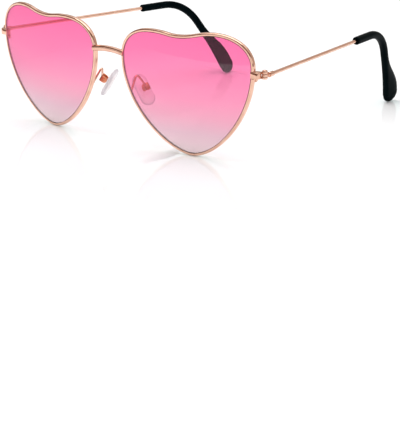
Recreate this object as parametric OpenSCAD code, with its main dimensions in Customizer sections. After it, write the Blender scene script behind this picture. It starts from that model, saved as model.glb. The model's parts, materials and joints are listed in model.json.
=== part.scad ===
// Heart shaped metal sunglasses, standing open on the floor on both hearts and both temple tips.
// Millimetres. +X is the wearer's left, +Y runs back along the temples, +Z is up.
// The origin is on the floor, in the middle of the width and of the depth.

/* [Front] */
// Width of one heart rim, outside
rim_w = 60; // [52:0.5:64]
// Height of one heart rim, outside
rim_h = 50; // [44:0.5:56]
// Distance between the two rims at the nose
rim_gap = 14; // [11:0.5:20]
// Radius of the sphere that both lenses lie on
base_radius = 134; // [100:1:250]
// Angle that each heart is turned back towards the temple
wrap_angle = 7.4; // [4:0.1:10]
// Angle that the hearts lean, with the top forwards
tilt_angle = 6.4; // [3:0.1:9]

/* [Rim wire and lens] */
// Thickness of the rim wire, seen from the front
rim_t = 1.2; // [1.1:0.05:1.4]
// Depth of the rim wire, front to back
rim_d = 1.9; // [1.8:0.05:2.2]
// Depth of the lens groove
groove_d = 0.45; // [0.35:0.05:0.5]
// Width of the lens groove
groove_w = 0.9; // [0.8:0.05:1]
// Thickness of the lens
lens_t = 1.4; // [1.2:0.1:1.6]
// Thickness of the lens edge that stands in the groove
lens_edge_t = 0.7; // [0.5:0.05:0.7]
// Gap between the lens and the rim
lens_gap = 0.08; // [0.06:0.01:0.1]
// Gap between the two ends of the split rim
split_gap = 0.2; // [0.1:0.05:0.3]

/* [Bridge] */
// Reach of each end of the bridge bar past the outer edge of its rim
bridge_seat = 1; // [0.6:0.05:1.3]
// Height of the bar's section
bridge_h = 2.4; // [2:0.1:2.8]
// Depth of the bar's section
bridge_d = 2; // [1.8:0.1:2.2]
// Rise of the bar's middle above its ends
bridge_rise = 0.8; // [0.5:0.1:1.5]
// Distance from the middle of the bar forwards of the middle of the rim wire
bridge_lead = 0.6; // [0.5:0.05:0.8]

/* [End piece and rim lock] */
// Distance from the rim wire out to the hinge axis
hinge_out = 3.4; // [3.2:0.1:4]
// Distance from the rim wire back to the hinge axis
hinge_back = 2.5; // [2.4:0.1:3]
// Height of the end piece
strap_h = 2.6; // [2.2:0.1:2.8]
// Thickness of the end piece's strap
strap_t = 1.1; // [1:0.05:1.2]
// Overlap of the strap in front of the rim wire
strap_lap = 0.3; // [0.2:0.05:0.5]
// Height of the upper half of the rim lock
lock_upper_h = 2.2; // [2:0.1:2.3]
// Height of the lower half of the rim lock
lock_lower_h = 1.2; // [1:0.1:1.6]
// Outer diameter of the rim lock
lock_od = 1.5; // [1.4:0.05:1.6]
// Shank diameter of the rim lock screw
lock_screw_d = 0.9; // [0.8:0.05:0.9]

/* [Hinge] */
// Outer diameter of the hinge barrels
knuckle_od = 2.2; // [2.1:0.05:2.4]
// Height of the middle barrel
knuckle_mid_h = 1; // [0.9:0.05:1.2]
// Height of each outer barrel
knuckle_end_h = 0.95; // [0.8:0.05:1.2]
// Gap between two barrels
knuckle_gap = 0.05; // [0.03:0.01:0.08]
// Shank diameter of the hinge screw
hinge_screw_d = 1.2; // [1.1:0.05:1.3]
// Radial play of the screw in the barrel that turns
hinge_play = 0.04; // [0.02:0.01:0.08]
// Diameter of the hinge screw's head
hinge_head_d = 1.9; // [1.7:0.1:2.1]
// Height of the hinge screw's head
hinge_head_h = 0.45; // [0.35:0.05:0.6]

/* [Temple] */
// Distance from the hinge axis to the bend of the temple wire
temple_l = 100; // [90:1:110]
// Distance from the hinge axis to the start of the black tip
sleeve_start = 75; // [65:1:80]
// Diameter of the temple wire
wire_d = 1.45; // [1.3:0.05:1.5]
// Distance from the hinge axis outwards to the wire
wire_offset = 1; // [0.95:0.05:1.1]
// Angle that each temple closes in towards its end
converge_angle = 8.8; // [6:0.1:10]
// Angle that the tip drops below the temple
drop_angle = 56; // [50:1:65]
// Angle that the tip leans inwards
lean_angle = 10; // [5:0.5:14]
// Radius of the bend, at the middle of the wire
bend_r = 22; // [12:0.5:24]
// Outer diameter of the socket that holds the wire
socket_od = 2; // [1.95:0.05:2.1]
// Length of the socket
socket_l = 3; // [2.5:0.1:3.5]

/* [Temple tip] */
// Outer diameter of the tip along the wire
tip_d = 3.2; // [2.8:0.1:3.6]
// Width of the paddle at the tip's end
paddle_w = 8.6; // [7:0.1:10]
// Thickness of the paddle
paddle_t = 3; // [2.3:0.1:3.4]
// Length of the paddle at its full width, with its rounded end
paddle_l = 5; // [4.5:0.5:10]
// Angle that the paddle turns outwards, which lays it along the head
paddle_angle = 12; // [0:0.5:14]
// Angle that the tip curves on downwards as it flares
tip_curve_angle = 12; // [4:1:16]
// Length over which the tip flares into the paddle
flare_l = 27; // [20:1:30]
// Length of tip beyond the end of the wire
wire_short = 9; // [7:0.5:14]

/* [Nose pads] */
// Distance from the nose edge of each rim outwards to the pad pivot
pad_out = 4.4; // [4.2:0.05:5]
// Distance from the middle of the hearts back to the pad pivot
pad_y = 7.6; // [7.2:0.1:8]
// Height of the pad pivot above the floor
pad_z = 22.8; // [22:0.1:24]
// Lean of the pad, with its top inwards
pad_lean = 35; // [32:0.5:38]
// Angle that the pad faces backwards
pad_splay = 22; // [18:0.5:26]
// Length of the pad
pad_l = 13.4; // [12:0.1:14]
// Width of the pad
pad_w = 6; // [5.5:0.1:7]
// Thickness of the pad in its middle
pad_t = 2.2; // [2:0.1:2.4]
// Distance from the pivot to the middle of the pad
pad_stand = 2.6; // [2.5:0.1:3.2]
// Diameter of the pad arm's wire
arm_d = 0.9; // [0.8:0.05:1]
// Radius of the arch at the top of the pad arm
arm_bend_r = 1; // [0.9:0.05:1.2]
// Shank diameter of the pad screw
pad_screw_d = 0.8; // [0.7:0.05:0.9]
// Thickness of the pad's tongue
tongue_t = 1; // [0.8:0.05:1.1]
// Thickness of each cheek of the pad box
cheek_t = 0.55; // [0.45:0.05:0.65]

/* [Hidden] */

// Colours of the materials
rose_gold = [0.86, 0.62, 0.5];
copper = [0.8, 0.45, 0.3];
lens_pink = [1, 0.45, 0.7, 0.6];
pad_grey = [0.85, 0.82, 0.8, 0.7];
tip_black = [0.06, 0.07, 0.07];

// Facets of round parts, and of the large lens spheres
round_fn = 48;
sphere_fn = 240;

// Gap left at every soldered or butted face, and round the rim wire where a piece is soldered to it
solder_gap = 0.03;
joint_gap = 0.05;
// Radial play of a screw in the thread that holds it, and in a hole that it passes
thread_play = 0.01;
pass_play = 0.03;
// Lap and step where a rod's second straight joins its arc
rod_lap = 0.05;
rod_step = 0.005;
// Overrun of every cut
cut_over = 1;

// The heart, as six points joined by smooth curves, seen from the front with +x away from the nose.
// Each row is a point's place and the lengths of the curve's handles before and after it,
// as shares of half the width across and of half the height up and down.
heart_shares = [
    [[1, 0.514], 0.827, 0.283, [0, 1]],
    [[0.446, 1], 0.332, 0.213, [-1, 0]],
    [[-0.073, 0.928], 0.253, 0.147, [-1, 0]],
    [[-0.464, 0.965], 0.222, 0.336, [-1, 0]],
    [[-1, 0.471], 0.305, 0.808, [0, -1]],
    [[0.016, -1], 0.337, 0.357, [1, 0]]];
heart_steps = [12, 8, 7, 12, 18, 18];
outer_stretch = 5;
nose_stretch = 4;
// Place of the hinge along the outer stretch
hinge_share = 0.96;

lens_pitch = rim_w + rim_gap;
half_w = (rim_w - rim_t) / 2;
half_h = (rim_h - rim_t) / 2;
heart_size = [half_w, half_h];

function along(v, size) = [v.x * size.x, v.y * size.y];
function heart_row(i) = heart_shares[i % len(heart_shares)];
function heart_anchor(i) = along(heart_row(i)[0], heart_size);
function handle_after(i) = heart_anchor(i) + along(heart_row(i)[3] * heart_row(i)[2], heart_size);
function handle_before(i) = heart_anchor(i) - along(heart_row(i)[3] * heart_row(i)[1], heart_size);
function blend(a, b, c, d, t) =
    a * (1 - t) ^ 3 + b * 3 * (1 - t) ^ 2 * t + c * 3 * (1 - t) * t ^ 2 + d * t ^ 3;
function blend_slope(a, b, c, d, t) =
    (b - a) * 3 * (1 - t) ^ 2 + (c - b) * 6 * (1 - t) * t + (d - c) * 3 * t ^ 2;
function heart_point(k) = let (i = floor(k))
    blend(heart_anchor(i), handle_after(i), handle_before(i + 1), heart_anchor(i + 1), k - i);
function heart_slope(k) = let (i = floor(k))
    blend_slope(heart_anchor(i), handle_after(i), handle_before(i + 1), heart_anchor(i + 1), k - i);
function heart_normal(k) = let (s = heart_slope(k)) [s.y, -s.x] / norm(s);

// A point of the rim: k runs round the heart, a is the distance outwards, b backwards
function sphere_sag(p) = base_radius - sqrt(base_radius ^ 2 - norm(p) ^ 2);
function rim_local(k, a, b) = let (p = heart_point(k) + heart_normal(k) * a)
    [p.x, sphere_sag(p) + b, p.y];
// Slope of the sphere along a direction in the lens plane, and the rise of the rim wire along its run
function sag_slope(k, d) = heart_point(k) * d / (base_radius - sphere_sag(heart_point(k)));
function rim_rise(k) = atan(sag_slope(k, [-heart_normal(k).y, heart_normal(k).x]));
function turn_wrap(p) = [p.x * cos(wrap_angle) - p.y * sin(wrap_angle),
    p.x * sin(wrap_angle) + p.y * cos(wrap_angle), p.z];
function turn_tilt(p) = [p.x, p.y * cos(tilt_angle) - p.z * sin(tilt_angle),
    p.y * sin(tilt_angle) + p.z * cos(tilt_angle)];
function rim_turned(k, a, b) = turn_tilt(turn_wrap(rim_local(k, a, b)));

// The section of the rim wire, with the lens groove on its inside, as corners [outwards, back].
// The shares place the chamfer of the inner lips and the rounding of the outside
lip_share = 0.16;
shoulder_share = 0.35;
corner_out_share = 0.85;
corner_back_share = 0.72;
rim_lip = rim_t * lip_share;
rim_section = let (h = rim_t / 2, d = rim_d / 2, g = groove_w / 2, c = rim_lip) [
    [-h, g], [groove_d - h, g], [groove_d - h, -g], [-h, -g],
    [-h, c - d], [c - h, -d], [h * shoulder_share, -d], [h * corner_out_share, -d * corner_back_share],
    [h, -g], [h, g],
    [h * corner_out_share, d * corner_back_share], [h * shoulder_share, d], [c - h, d], [-h, d - c]];
rim_caps = [[4, 5, 6, 7, 8, 2, 3], [2, 8, 9, 1], [13, 0, 1, 9, 10, 11, 12]];
// Reach of the envelope inwards over the lens, and its length along the wire
envelope_reach = 2.5;
envelope_l = 9.6;
envelope_section = [for (i = [4:13]) let (p = rim_section[i])
    [p.x + (p.x < 0 ? -envelope_reach : joint_gap), p.y + joint_gap * sign(p.y)]];

// Places along the heart. The rim is split just below the end piece
hinge_k = outer_stretch + hinge_share;
hinge_speed = norm(heart_slope(hinge_k));
split_k = hinge_k - (strap_h + split_gap) / 2 / hinge_speed;
split_half_k = split_gap / 2 / hinge_speed;
lock_k = split_k - (split_gap + lock_lower_h) / 2 / hinge_speed;
heart_ks = [for (i = [0:len(heart_steps) - 1]) for (j = [0:heart_steps[i] - 1]) i + j / heart_steps[i]];
turns = len(heart_steps);
// Least spacing of two rings of the rim, as a share of one curve
ring_space_share = 0.01;
rim_ks = concat([split_k + split_half_k],
    [for (k = concat(heart_ks, heart_ks + [for (k = heart_ks) turns]))
        if (k > split_k + split_half_k + ring_space_share
            && k < split_k - split_half_k + turns - ring_space_share) k],
    [split_k - split_half_k + turns]);

// Height of the middle of the hearts that puts their tips on the floor
rim_low = min([for (k = rim_ks) for (c = rim_section) rim_turned(k, c.x, c.y).z]);
lens_z = -rim_low;

// The bridge lies at this share of the rim's height and ends on the nose side of each rim
bridge_height_share = 0.745;
nose_k = nose_stretch;
bridge_share = -0.06;
bridge_k = nose_stretch + bridge_share;
bridge_z = rim_h * bridge_height_share;
bridge_y_free = rim_turned(nose_k, 0, 0).y - bridge_lead;
bridge_l = rim_gap + 2 * bridge_seat;
bridge_arc_r = (bridge_l ^ 2 / 4 + bridge_rise ^ 2) / (2 * bridge_rise);
bridge_half_angle = asin(bridge_l / 2 / bridge_arc_r);

// The hinge axis, before the whole object is centred front to back
hinge_free = rim_turned(hinge_k, 0, 0) + [lens_pitch / 2 + hinge_out, hinge_back, lens_z];
knuckle_r = knuckle_od / 2;
hinge_h = knuckle_mid_h + 2 * (knuckle_gap + knuckle_end_h);
strap_front = hinge_back + rim_d / 2 + strap_lap;
// Distances forwards of the hinge axis at which the strap's leg and its inner web end
leg_back = 0.35;
web_back = 0.6;
// Distance from the hinge axis outwards to the strap's outer face, and room round the middle barrel
leg_outside = 0.5;
knuckle_pocket = 0.15;

// The rim lock and its screw lie behind the rim wire: wall in front of the screw, width of the upper
// half's web, its depth behind the screw's middle, head sizes and reach of the screw above the end piece
lock_wall = 0.2;
lock_r = lock_od / 2;
lock_back = rim_d / 2 + solder_gap + lock_wall + lock_screw_d / 2;
lock_web = 1.4;
lock_depth = 0.7;
lock_head_d = 1.4;
lock_head_h = 0.4;
lock_screw_up = 0.6;
// Size of the cut in the end piece that leaves room for the lower half
lock_room = 2.6;
// Width and depth of a screw's slot
slot_w = 0.3;
slot_deep = 0.2;

// The temple's own frame has its origin on the hinge axis, +Y along the wire and +X outwards
wire_r = wire_d / 2;
// Gap between the barrel and the socket, thickness of the socket's floor, and the leaf's inner face
socket_clear = 0.3;
socket_start = knuckle_r + socket_clear;
socket_floor = 0.5;
leaf_inside = 0.1;
back_dir = [0, 1, 0];
down_dir = [-sin(lean_angle), 0, -cos(lean_angle)];
drop_dir = back_dir * cos(drop_angle) + down_dir * sin(drop_angle);
tip_across = cross(back_dir, down_dir);
temple_corner = [wire_offset, temple_l, 0];
bend_run = bend_r * tan(drop_angle / 2);
function bend_outer(t) = back_dir * sin(t) - down_dir * cos(t);

// The temple tip: sections across its path, round at first and then a flat paddle that grows backwards
tip_r = tip_d / 2;
tip_sides = 20;
// Power that makes the sections a little squarer than an ellipse
tip_square_share = 0.85;
// Rounded mouth of the sleeve, and length of the rounding at the paddle's end
tip_edge = 0.25;
tip_edge_share = 0.82;
paddle_round = 3.8;
// Steps and angle of the rings
bend_steps = 9;
flare_steps = 8;
round_steps = 6;
round_stop_angle = 80;
function signed_power(v, e) = sign(v) * abs(v) ^ e;
function smooth(x) = x < 0 ? 0 : x > 1 ? 1 : x * x * (3 - 2 * x);
function flare(e) = smooth((flare_l - e) / (flare_l - paddle_l));
function rear_half(e) = tip_r + (paddle_w - tip_d) * flare(e);
function thick_half(e) = tip_r + (paddle_t / 2 - tip_r) * flare(e);
function tip_ring(mid, outer, across, rear, front, thick) = [for (i = [0:tip_sides - 1])
    let (c = signed_power(cos(360 * i / tip_sides), tip_square_share),
        s = signed_power(sin(360 * i / tip_sides), tip_square_share))
    mid + outer * c * (c > 0 ? rear : front) + across * s * thick];
// Slope of the tip at a distance from its end, and the directions across the paddle, which turns as it flares
function slope_at(e) = drop_angle + tip_curve_angle * (flare_l - e) / flare_l;
function wide_dir(e) = let (t = paddle_angle * flare(e))
    bend_outer(slope_at(e)) * cos(t) - tip_across * sin(t);
function flat_dir(e) = let (t = paddle_angle * flare(e))
    tip_across * cos(t) + bend_outer(slope_at(e)) * sin(t);
function shrunk_ring(e, f, mid) = let (r = rear_half(e), c = (r - tip_r) / 2, w = (r + tip_r) / 2 * f)
    tip_ring(mid + wide_dir(e) * c, wide_dir(e), flat_dir(e), w, w, thick_half(e) * sqrt(f));
// The flare's middle line is an arc. Its end rings, with the arc's start as origin, give the tip's reach down
tip_curve_r = flare_l / (tip_curve_angle * PI / 180);
function flare_mid(start, e) = start + (bend_outer(slope_at(e)) - bend_outer(drop_angle)) * tip_curve_r;
round_turns = [for (i = [0:round_steps]) round_stop_angle * i / round_steps];
function end_rings(start) = [for (t = round_turns) let (e = paddle_round * (1 - sin(t)))
    shrunk_ring(e, cos(t), flare_mid(start, e))];
tip_reach = min([for (ring = end_rings([0, 0, 0])) for (p = ring) p.z]);
drop_l = -(hinge_free.z + tip_reach) / drop_dir.z;
flare_start = temple_corner + drop_dir * drop_l;
wire_end = flare_start + drop_dir * (flare_l - wire_short);
tip_rings = concat(
    [let (r = tip_r * tip_edge_share)
        tip_ring([wire_offset, sleeve_start, 0], bend_outer(0), tip_across, r, r, r),
     tip_ring([wire_offset, sleeve_start + tip_edge, 0], bend_outer(0), tip_across, tip_r, tip_r, tip_r)],
    [for (i = [0:bend_steps]) let (t = drop_angle * i / bend_steps)
        tip_ring(temple_corner - back_dir * bend_run + down_dir * bend_r + bend_outer(t) * bend_r,
            bend_outer(t), tip_across, tip_r, tip_r, tip_r)],
    [for (i = [0:flare_steps - 1]) let (e = flare_l - (flare_l - paddle_round) * i / flare_steps)
        tip_ring(flare_mid(flare_start, e), wide_dir(e), flat_dir(e), rear_half(e), tip_r, thick_half(e))],
    end_rings(flare_start));
function temple_turned(p) = [p.x * cos(converge_angle) - p.y * sin(converge_angle),
    p.x * sin(converge_angle) + p.y * cos(converge_angle), p.z];

// Shift that centres the whole object front to back
front_y = bridge_y_free - bridge_d / 2;
rear_y = max([for (ring = tip_rings) for (p = ring) (hinge_free + temple_turned(p)).y]);
y_shift = -(front_y + rear_y) / 2;
lens_origin = [lens_pitch / 2, y_shift, lens_z];
hinge_pos = hinge_free + [0, y_shift, 0];

// The pad's own frame has its origin on the pad pivot, -X towards the nose and +Z along the pad
pad_pos = [rim_gap / 2 + pad_out, pad_y + y_shift, pad_z];
// Radius of the domed faces of the pad
pad_dome_r = 40;
// Moulded-in plate, its neck and the eye of its tongue
core_l = 5.5;
core_w = 3;
core_t = 0.5;
neck_w = 1.4;
eye_r = 0.8;
// Box round the pivot: radius in front, distance to its back face, back wall and gap beside the tongue
box_r = 1.4;
box_back = 1.55;
box_wall = 0.6;
cheek_gap = 0.05;
// Head of the pad screw
pad_head_d = 1.5;
pad_head_h = 0.35;
box_w = tongue_t + 2 * (cheek_gap + cheek_t);
function turn_y(p, t) = [p.x * cos(t) + p.z * sin(t), p.y, p.z * cos(t) - p.x * sin(t)];
function turn_z(p, t) = [p.x * cos(t) - p.y * sin(t), p.x * sin(t) + p.y * cos(t), p.z];
function pad_point(p) = pad_pos + turn_y(turn_z(p, -pad_splay), -pad_lean);

// The pad arm leaves the back of the rim, rises to a narrow arch and comes down on the box
arm_share = 0.25;
arm_k = nose_stretch + arm_share;
// Place of the arch from the pad pivot
arm_arch = [-1.9, -3.1, 5.7];

module left_or_right(s) {
    if (s > 0) children();
    else mirror([1, 0, 0]) children();
}

module at_lens() translate(lens_origin) rotate([tilt_angle, 0, 0]) rotate([0, 0, wrap_angle]) children();

// A frame on the rim wire, with +Z along the wire, +X outwards and +Y about back
module at_rim(k) {
    n = heart_normal(k);
    x = [n.x, 0, n.y];
    z = [-n.y * cos(rim_rise(k)), sin(rim_rise(k)), n.x * cos(rim_rise(k))];
    y = cross(z, x);
    p = rim_local(k, 0, 0);
    at_lens() multmatrix([[x.x, y.x, z.x, p.x], [x.y, y.y, z.y, p.y], [x.z, y.z, z.z, p.z], [0, 0, 0, 1]])
        children();
}

module at_hinge() translate(hinge_pos) children();

module at_temple() translate(hinge_pos) rotate([0, 0, converge_angle]) children();

module at_pad() translate(pad_pos) rotate([0, -pad_lean, 0]) rotate([0, 0, -pad_splay]) children();

// A closed solid through rings of points, with the listed polygons as its end faces
module loft(rings, caps) {
    n = len(rings[0]);
    last = (len(rings) - 1) * n;
    walls = [for (r = [0:len(rings) - 2]) for (i = [0:n - 1])
        [r * n + i, r * n + (i + 1) % n, (r + 1) * n + (i + 1) % n, (r + 1) * n + i]];
    start = [for (cap = caps) [for (i = [len(cap) - 1:-1:0]) cap[i]]];
    end = [for (cap = caps) [for (i = cap) last + i]];
    polyhedron([for (ring = rings) for (p = ring) p], concat(walls, start, end), convexity = 10);
}

// A round rod that runs straight, turns in an arc at the corner and runs straight again.
// The second straight stands a hair inside the arc's end and is thinner by a hair, so that they join
module bent_rod(a, corner, b, turn_r, r) {
    d1 = (corner - a) / norm(corner - a);
    d2 = (b - corner) / norm(b - corner);
    turn = acos(d1 * d2);
    run = turn_r * tan(turn / 2);
    inward = (d2 - d1 * cos(turn)) / sin(turn);
    x = -inward;
    z = cross(x, d1);
    c = corner - d1 * run + inward * turn_r;
    multmatrix([[x.x, d1.x, z.x, c.x], [x.y, d1.y, z.y, c.y], [x.z, d1.z, z.z, c.z], [0, 0, 0, 1]]) {
        translate([turn_r, 0, 0]) rotate([90, 0, 0])
            cylinder(h = norm(corner - a) - run, r = r, $fn = round_fn);
        rotate_extrude(angle = turn, $fn = 2 * round_fn) translate([turn_r, 0]) circle(r = r, $fn = round_fn);
        rotate([0, 0, turn]) translate([turn_r, -rod_lap, 0]) rotate([-90, 0, 0])
            cylinder(h = norm(b - corner) - run + rod_lap, r = r - rod_step, $fn = round_fn);
    }
}

// The outside of the rim wire at one place, a little larger and reaching over the lens's edge,
// which is cut out of what is soldered to the wire
module rim_envelope(k) {
    at_rim(k) linear_extrude(envelope_l, center = true)
        polygon([for (c = envelope_section)
            [c.x, (c.y + c.x * sag_slope(k, heart_normal(k))) * cos(rim_rise(k))]]);
}

module rim(s) {
    color(rose_gold) left_or_right(s) at_lens()
        loft([for (k = rim_ks) [for (c = rim_section) rim_local(k, c.x, c.y)]], rim_caps);
}

// The heart outline as a flat shape, moved inwards or outwards
module heart_outline(a) polygon([for (k = heart_ks) heart_point(k) + heart_normal(k) * a]);

// A shell of the lens sphere inside the heart outline
module lens_shell(a, t) {
    intersection() {
        translate([0, rim_w, 0]) rotate([90, 0, 0]) linear_extrude(2 * rim_w) heart_outline(a);
        translate([0, base_radius, 0]) difference() {
            sphere(base_radius + t / 2, $fn = sphere_fn);
            sphere(base_radius - t / 2, $fn = sphere_fn);
        }
    }
}

module lens(s) {
    color(lens_pink) left_or_right(s) at_lens() {
        lens_shell(-rim_t / 2 - lens_gap, lens_t);
        lens_shell(groove_d - rim_t / 2 - lens_gap, lens_edge_t);
    }
}

module bridge() {
    flat = (bridge_h - bridge_d) / 2;
    color(rose_gold) difference() {
        translate([0, bridge_y_free + y_shift, bridge_z + bridge_rise - bridge_arc_r]) rotate([90, 0, 0])
            rotate_extrude(angle = 2 * bridge_half_angle, start = 90 - bridge_half_angle, $fn = 4 * round_fn)
                translate([bridge_arc_r, 0]) {
                    for (z = [-flat, flat]) translate([z, 0]) circle(r = bridge_d / 2, $fn = round_fn);
                    square([2 * flat, bridge_d], center = true);
                }
        for (s = [-1, 1]) left_or_right(s) rim_envelope(bridge_k);
    }
}

// The strap seen from above: along the front of the rim wire, round the corner and back to the barrels
module strap_outline() {
    leg_in = -leg_outside - strap_t;
    front_in = -hinge_out - rim_t / 2;
    translate([front_in, -strap_front]) square([leg_in - front_in, strap_t]);
    translate([leg_in, strap_t - strap_front]) circle(r = strap_t, $fn = round_fn);
    translate([leg_in, strap_t - strap_front]) square([strap_t, strap_front - strap_t - leg_back]);
    translate([-hinge_out, -strap_front]) square([leg_in + hinge_out, strap_front - web_back]);
}

// One half of the rim lock behind the rim wire, from the height z up
module lock_half(z, h, web) {
    translate([0, lock_back, z]) cylinder(h = h, r = lock_r, $fn = round_fn);
    translate([-lock_r, 0, z]) cube([2 * lock_r, lock_back, h]);
    translate([0, 0, z]) cube([web, lock_back + lock_depth, h]);
}

module end_piece(s) {
    lock_low = -strap_h / 2;
    color(rose_gold) left_or_right(s) difference() {
        union() {
            at_hinge() {
                difference() {
                    linear_extrude(strap_h, center = true) strap_outline();
                    cylinder(h = knuckle_mid_h + 2 * knuckle_gap, r = knuckle_r + knuckle_pocket,
                        center = true, $fn = round_fn);
                }
                for (m = [0, 1]) mirror([0, 0, m]) translate([0, 0, knuckle_mid_h / 2 + knuckle_gap])
                    cylinder(h = knuckle_end_h, r = knuckle_r, $fn = round_fn);
            }
            at_rim(hinge_k) lock_half(lock_low, lock_upper_h, lock_web);
        }
        rim_envelope(hinge_k);
        // room for the lower half of the rim lock
        at_rim(hinge_k) translate([-lock_room, 0, lock_low - lock_room])
            cube([lock_room + lock_web, 2 * lock_back, lock_room]);
        at_rim(hinge_k) translate([0, lock_back, lock_low - cut_over])
            cylinder(h = lock_upper_h + 2 * cut_over, r = lock_screw_d / 2 + thread_play, $fn = round_fn);
        at_hinge() cylinder(h = hinge_h + 2 * cut_over, r = hinge_screw_d / 2 + pass_play, $fn = round_fn);
        at_hinge() translate([0, 0, -hinge_h])
            cylinder(h = hinge_h, r = hinge_screw_d / 2 + thread_play, $fn = round_fn);
    }
}

module rim_lock(s) {
    lock_top = -strap_h / 2 - split_gap;
    color(rose_gold) left_or_right(s) difference() {
        at_rim(hinge_k) lock_half(lock_top - lock_lower_h, lock_lower_h, lock_r);
        rim_envelope(lock_k);
        at_rim(hinge_k) translate([0, lock_back, lock_top - lock_lower_h - cut_over])
            cylinder(h = lock_lower_h + 2 * cut_over, r = lock_screw_d / 2 + pass_play, $fn = round_fn);
    }
}

// A screw pointing up from z = 0, with a slotted head below it
module screw(shank_d, shank_l, head_d, head_h) {
    difference() {
        union() {
            cylinder(h = shank_l, r = shank_d / 2, $fn = round_fn);
            translate([0, 0, -head_h]) cylinder(h = head_h, r = head_d / 2, $fn = round_fn);
        }
        translate([-slot_w / 2, -head_d, -head_h - cut_over])
            cube([slot_w, 2 * head_d, slot_deep + cut_over]);
    }
}

module rim_lock_screws() {
    low = -strap_h / 2 - split_gap - lock_lower_h;
    color(rose_gold) for (s = [-1, 1]) left_or_right(s) at_rim(hinge_k)
        translate([0, lock_back, low - solder_gap])
            screw(lock_screw_d, lock_screw_up - low, lock_head_d, lock_head_h);
}

module hinge_screws() {
    color(rose_gold) for (s = [-1, 1]) left_or_right(s) at_hinge()
        translate([0, 0, hinge_h / 2 + solder_gap]) mirror([0, 0, 1])
            screw(hinge_screw_d, hinge_h + solder_gap, hinge_head_d, hinge_head_h);
}

module nose_pad_screws() {
    color(copper) for (s = [-1, 1]) left_or_right(s) at_pad()
        translate([0, -box_w / 2 - solder_gap, 0]) rotate([-90, 0, 0])
            screw(pad_screw_d, box_w + solder_gap, pad_head_d, pad_head_h);
}

// The box outline seen along the pivot: round towards the nose, square at the back
module box_outline() {
    circle(r = box_r, $fn = round_fn);
    translate([0, -box_r]) square([box_back, 2 * box_r]);
}

module nose_pad_box(s) {
    color(copper) left_or_right(s) at_pad() difference() {
        rotate([90, 0, 0]) linear_extrude(box_w, center = true) box_outline();
        translate([-box_r - cut_over, -tongue_t / 2 - cheek_gap, -box_r - cut_over])
            cube([box_r + cut_over + box_back - box_wall, tongue_t + 2 * cheek_gap, 2 * (box_r + cut_over)]);
        rotate([90, 0, 0]) cylinder(h = box_w + 2 * cut_over, r = pad_screw_d / 2 + thread_play,
            center = true, $fn = round_fn);
    }
}

module nose_pad_arm(s) {
    start = lens_origin + rim_turned(arm_k, 0, rim_d / 2);
    color(rose_gold) left_or_right(s) difference() {
        bent_rod(start, pad_pos + arm_arch, pad_point([box_back - box_wall, 0, 0]), arm_bend_r, arm_d / 2);
        rim_envelope(arm_k);
        at_pad() translate([-box_r, -box_w / 2 - solder_gap, -box_r - solder_gap])
            cube([box_r + box_back + solder_gap, box_w + 2 * solder_gap, 2 * (box_r + solder_gap)]);
    }
}

// The moulded-in plate and the neck that carries the tongue, with an allowance all round
module core_blank(g) {
    translate([-pad_stand, 0, 0]) cube([core_t + 2 * g, core_w + 2 * g, core_l + 2 * g], center = true);
    translate([-pad_stand, -tongue_t / 2 - g, -neck_w / 2 - g])
        cube([pad_stand, tongue_t + 2 * g, neck_w + 2 * g]);
}

module nose_pad_core(s) {
    color(copper) left_or_right(s) at_pad() difference() {
        union() {
            core_blank(0);
            rotate([90, 0, 0]) cylinder(h = tongue_t, r = eye_r, center = true, $fn = round_fn);
        }
        rotate([90, 0, 0]) cylinder(h = tongue_t + 2 * cut_over, r = pad_screw_d / 2 + hinge_play,
            center = true, $fn = round_fn);
    }
}

module nose_pad(s) {
    end_r = pad_w / 2;
    color(pad_grey) left_or_right(s) at_pad() difference() {
        translate([-pad_stand, 0, 0]) intersection() {
            rotate([0, 90, 0]) linear_extrude(2 * pad_t, center = true) {
                for (m = [-1, 1]) translate([m * (pad_l / 2 - end_r), 0])
                    circle(r = end_r, $fn = 2 * round_fn);
                square([pad_l - pad_w, pad_w], center = true);
            }
            translate([pad_dome_r - pad_t / 2, 0, 0]) sphere(pad_dome_r, $fn = sphere_fn);
            translate([pad_t / 2 - pad_dome_r, 0, 0]) sphere(pad_dome_r, $fn = sphere_fn);
        }
        core_blank(solder_gap);
    }
}

module temple_hinge(s) {
    leaf_w = wire_offset - leaf_inside;
    color(rose_gold) left_or_right(s) at_temple() difference() {
        union() {
            cylinder(h = knuckle_mid_h, r = knuckle_r, center = true, $fn = round_fn);
            translate([leaf_inside, 0, -knuckle_mid_h / 2])
                cube([leaf_w, socket_start + socket_floor, knuckle_mid_h]);
            translate([wire_offset, socket_start, 0]) rotate([-90, 0, 0])
                cylinder(h = socket_l, r = socket_od / 2, $fn = round_fn);
        }
        cylinder(h = knuckle_mid_h + 2 * cut_over, r = hinge_screw_d / 2 + hinge_play,
            center = true, $fn = round_fn);
        translate([wire_offset, socket_start + socket_floor, 0]) rotate([-90, 0, 0])
            cylinder(h = socket_l + cut_over, r = wire_r + solder_gap, $fn = round_fn);
    }
}

module temple_wire(s) {
    color(rose_gold) left_or_right(s) at_temple()
        bent_rod([wire_offset, socket_start + socket_floor + solder_gap, 0], temple_corner, wire_end,
            bend_r, wire_r);
}

module temple_tip(s) {
    color(tip_black) left_or_right(s) at_temple() difference() {
        loft(tip_rings, [[for (i = [0:tip_sides - 1]) i]]);
        bent_rod([wire_offset, sleeve_start - cut_over, 0], temple_corner, wire_end + drop_dir * solder_gap,
            bend_r, wire_r + solder_gap);
    }
}

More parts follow.
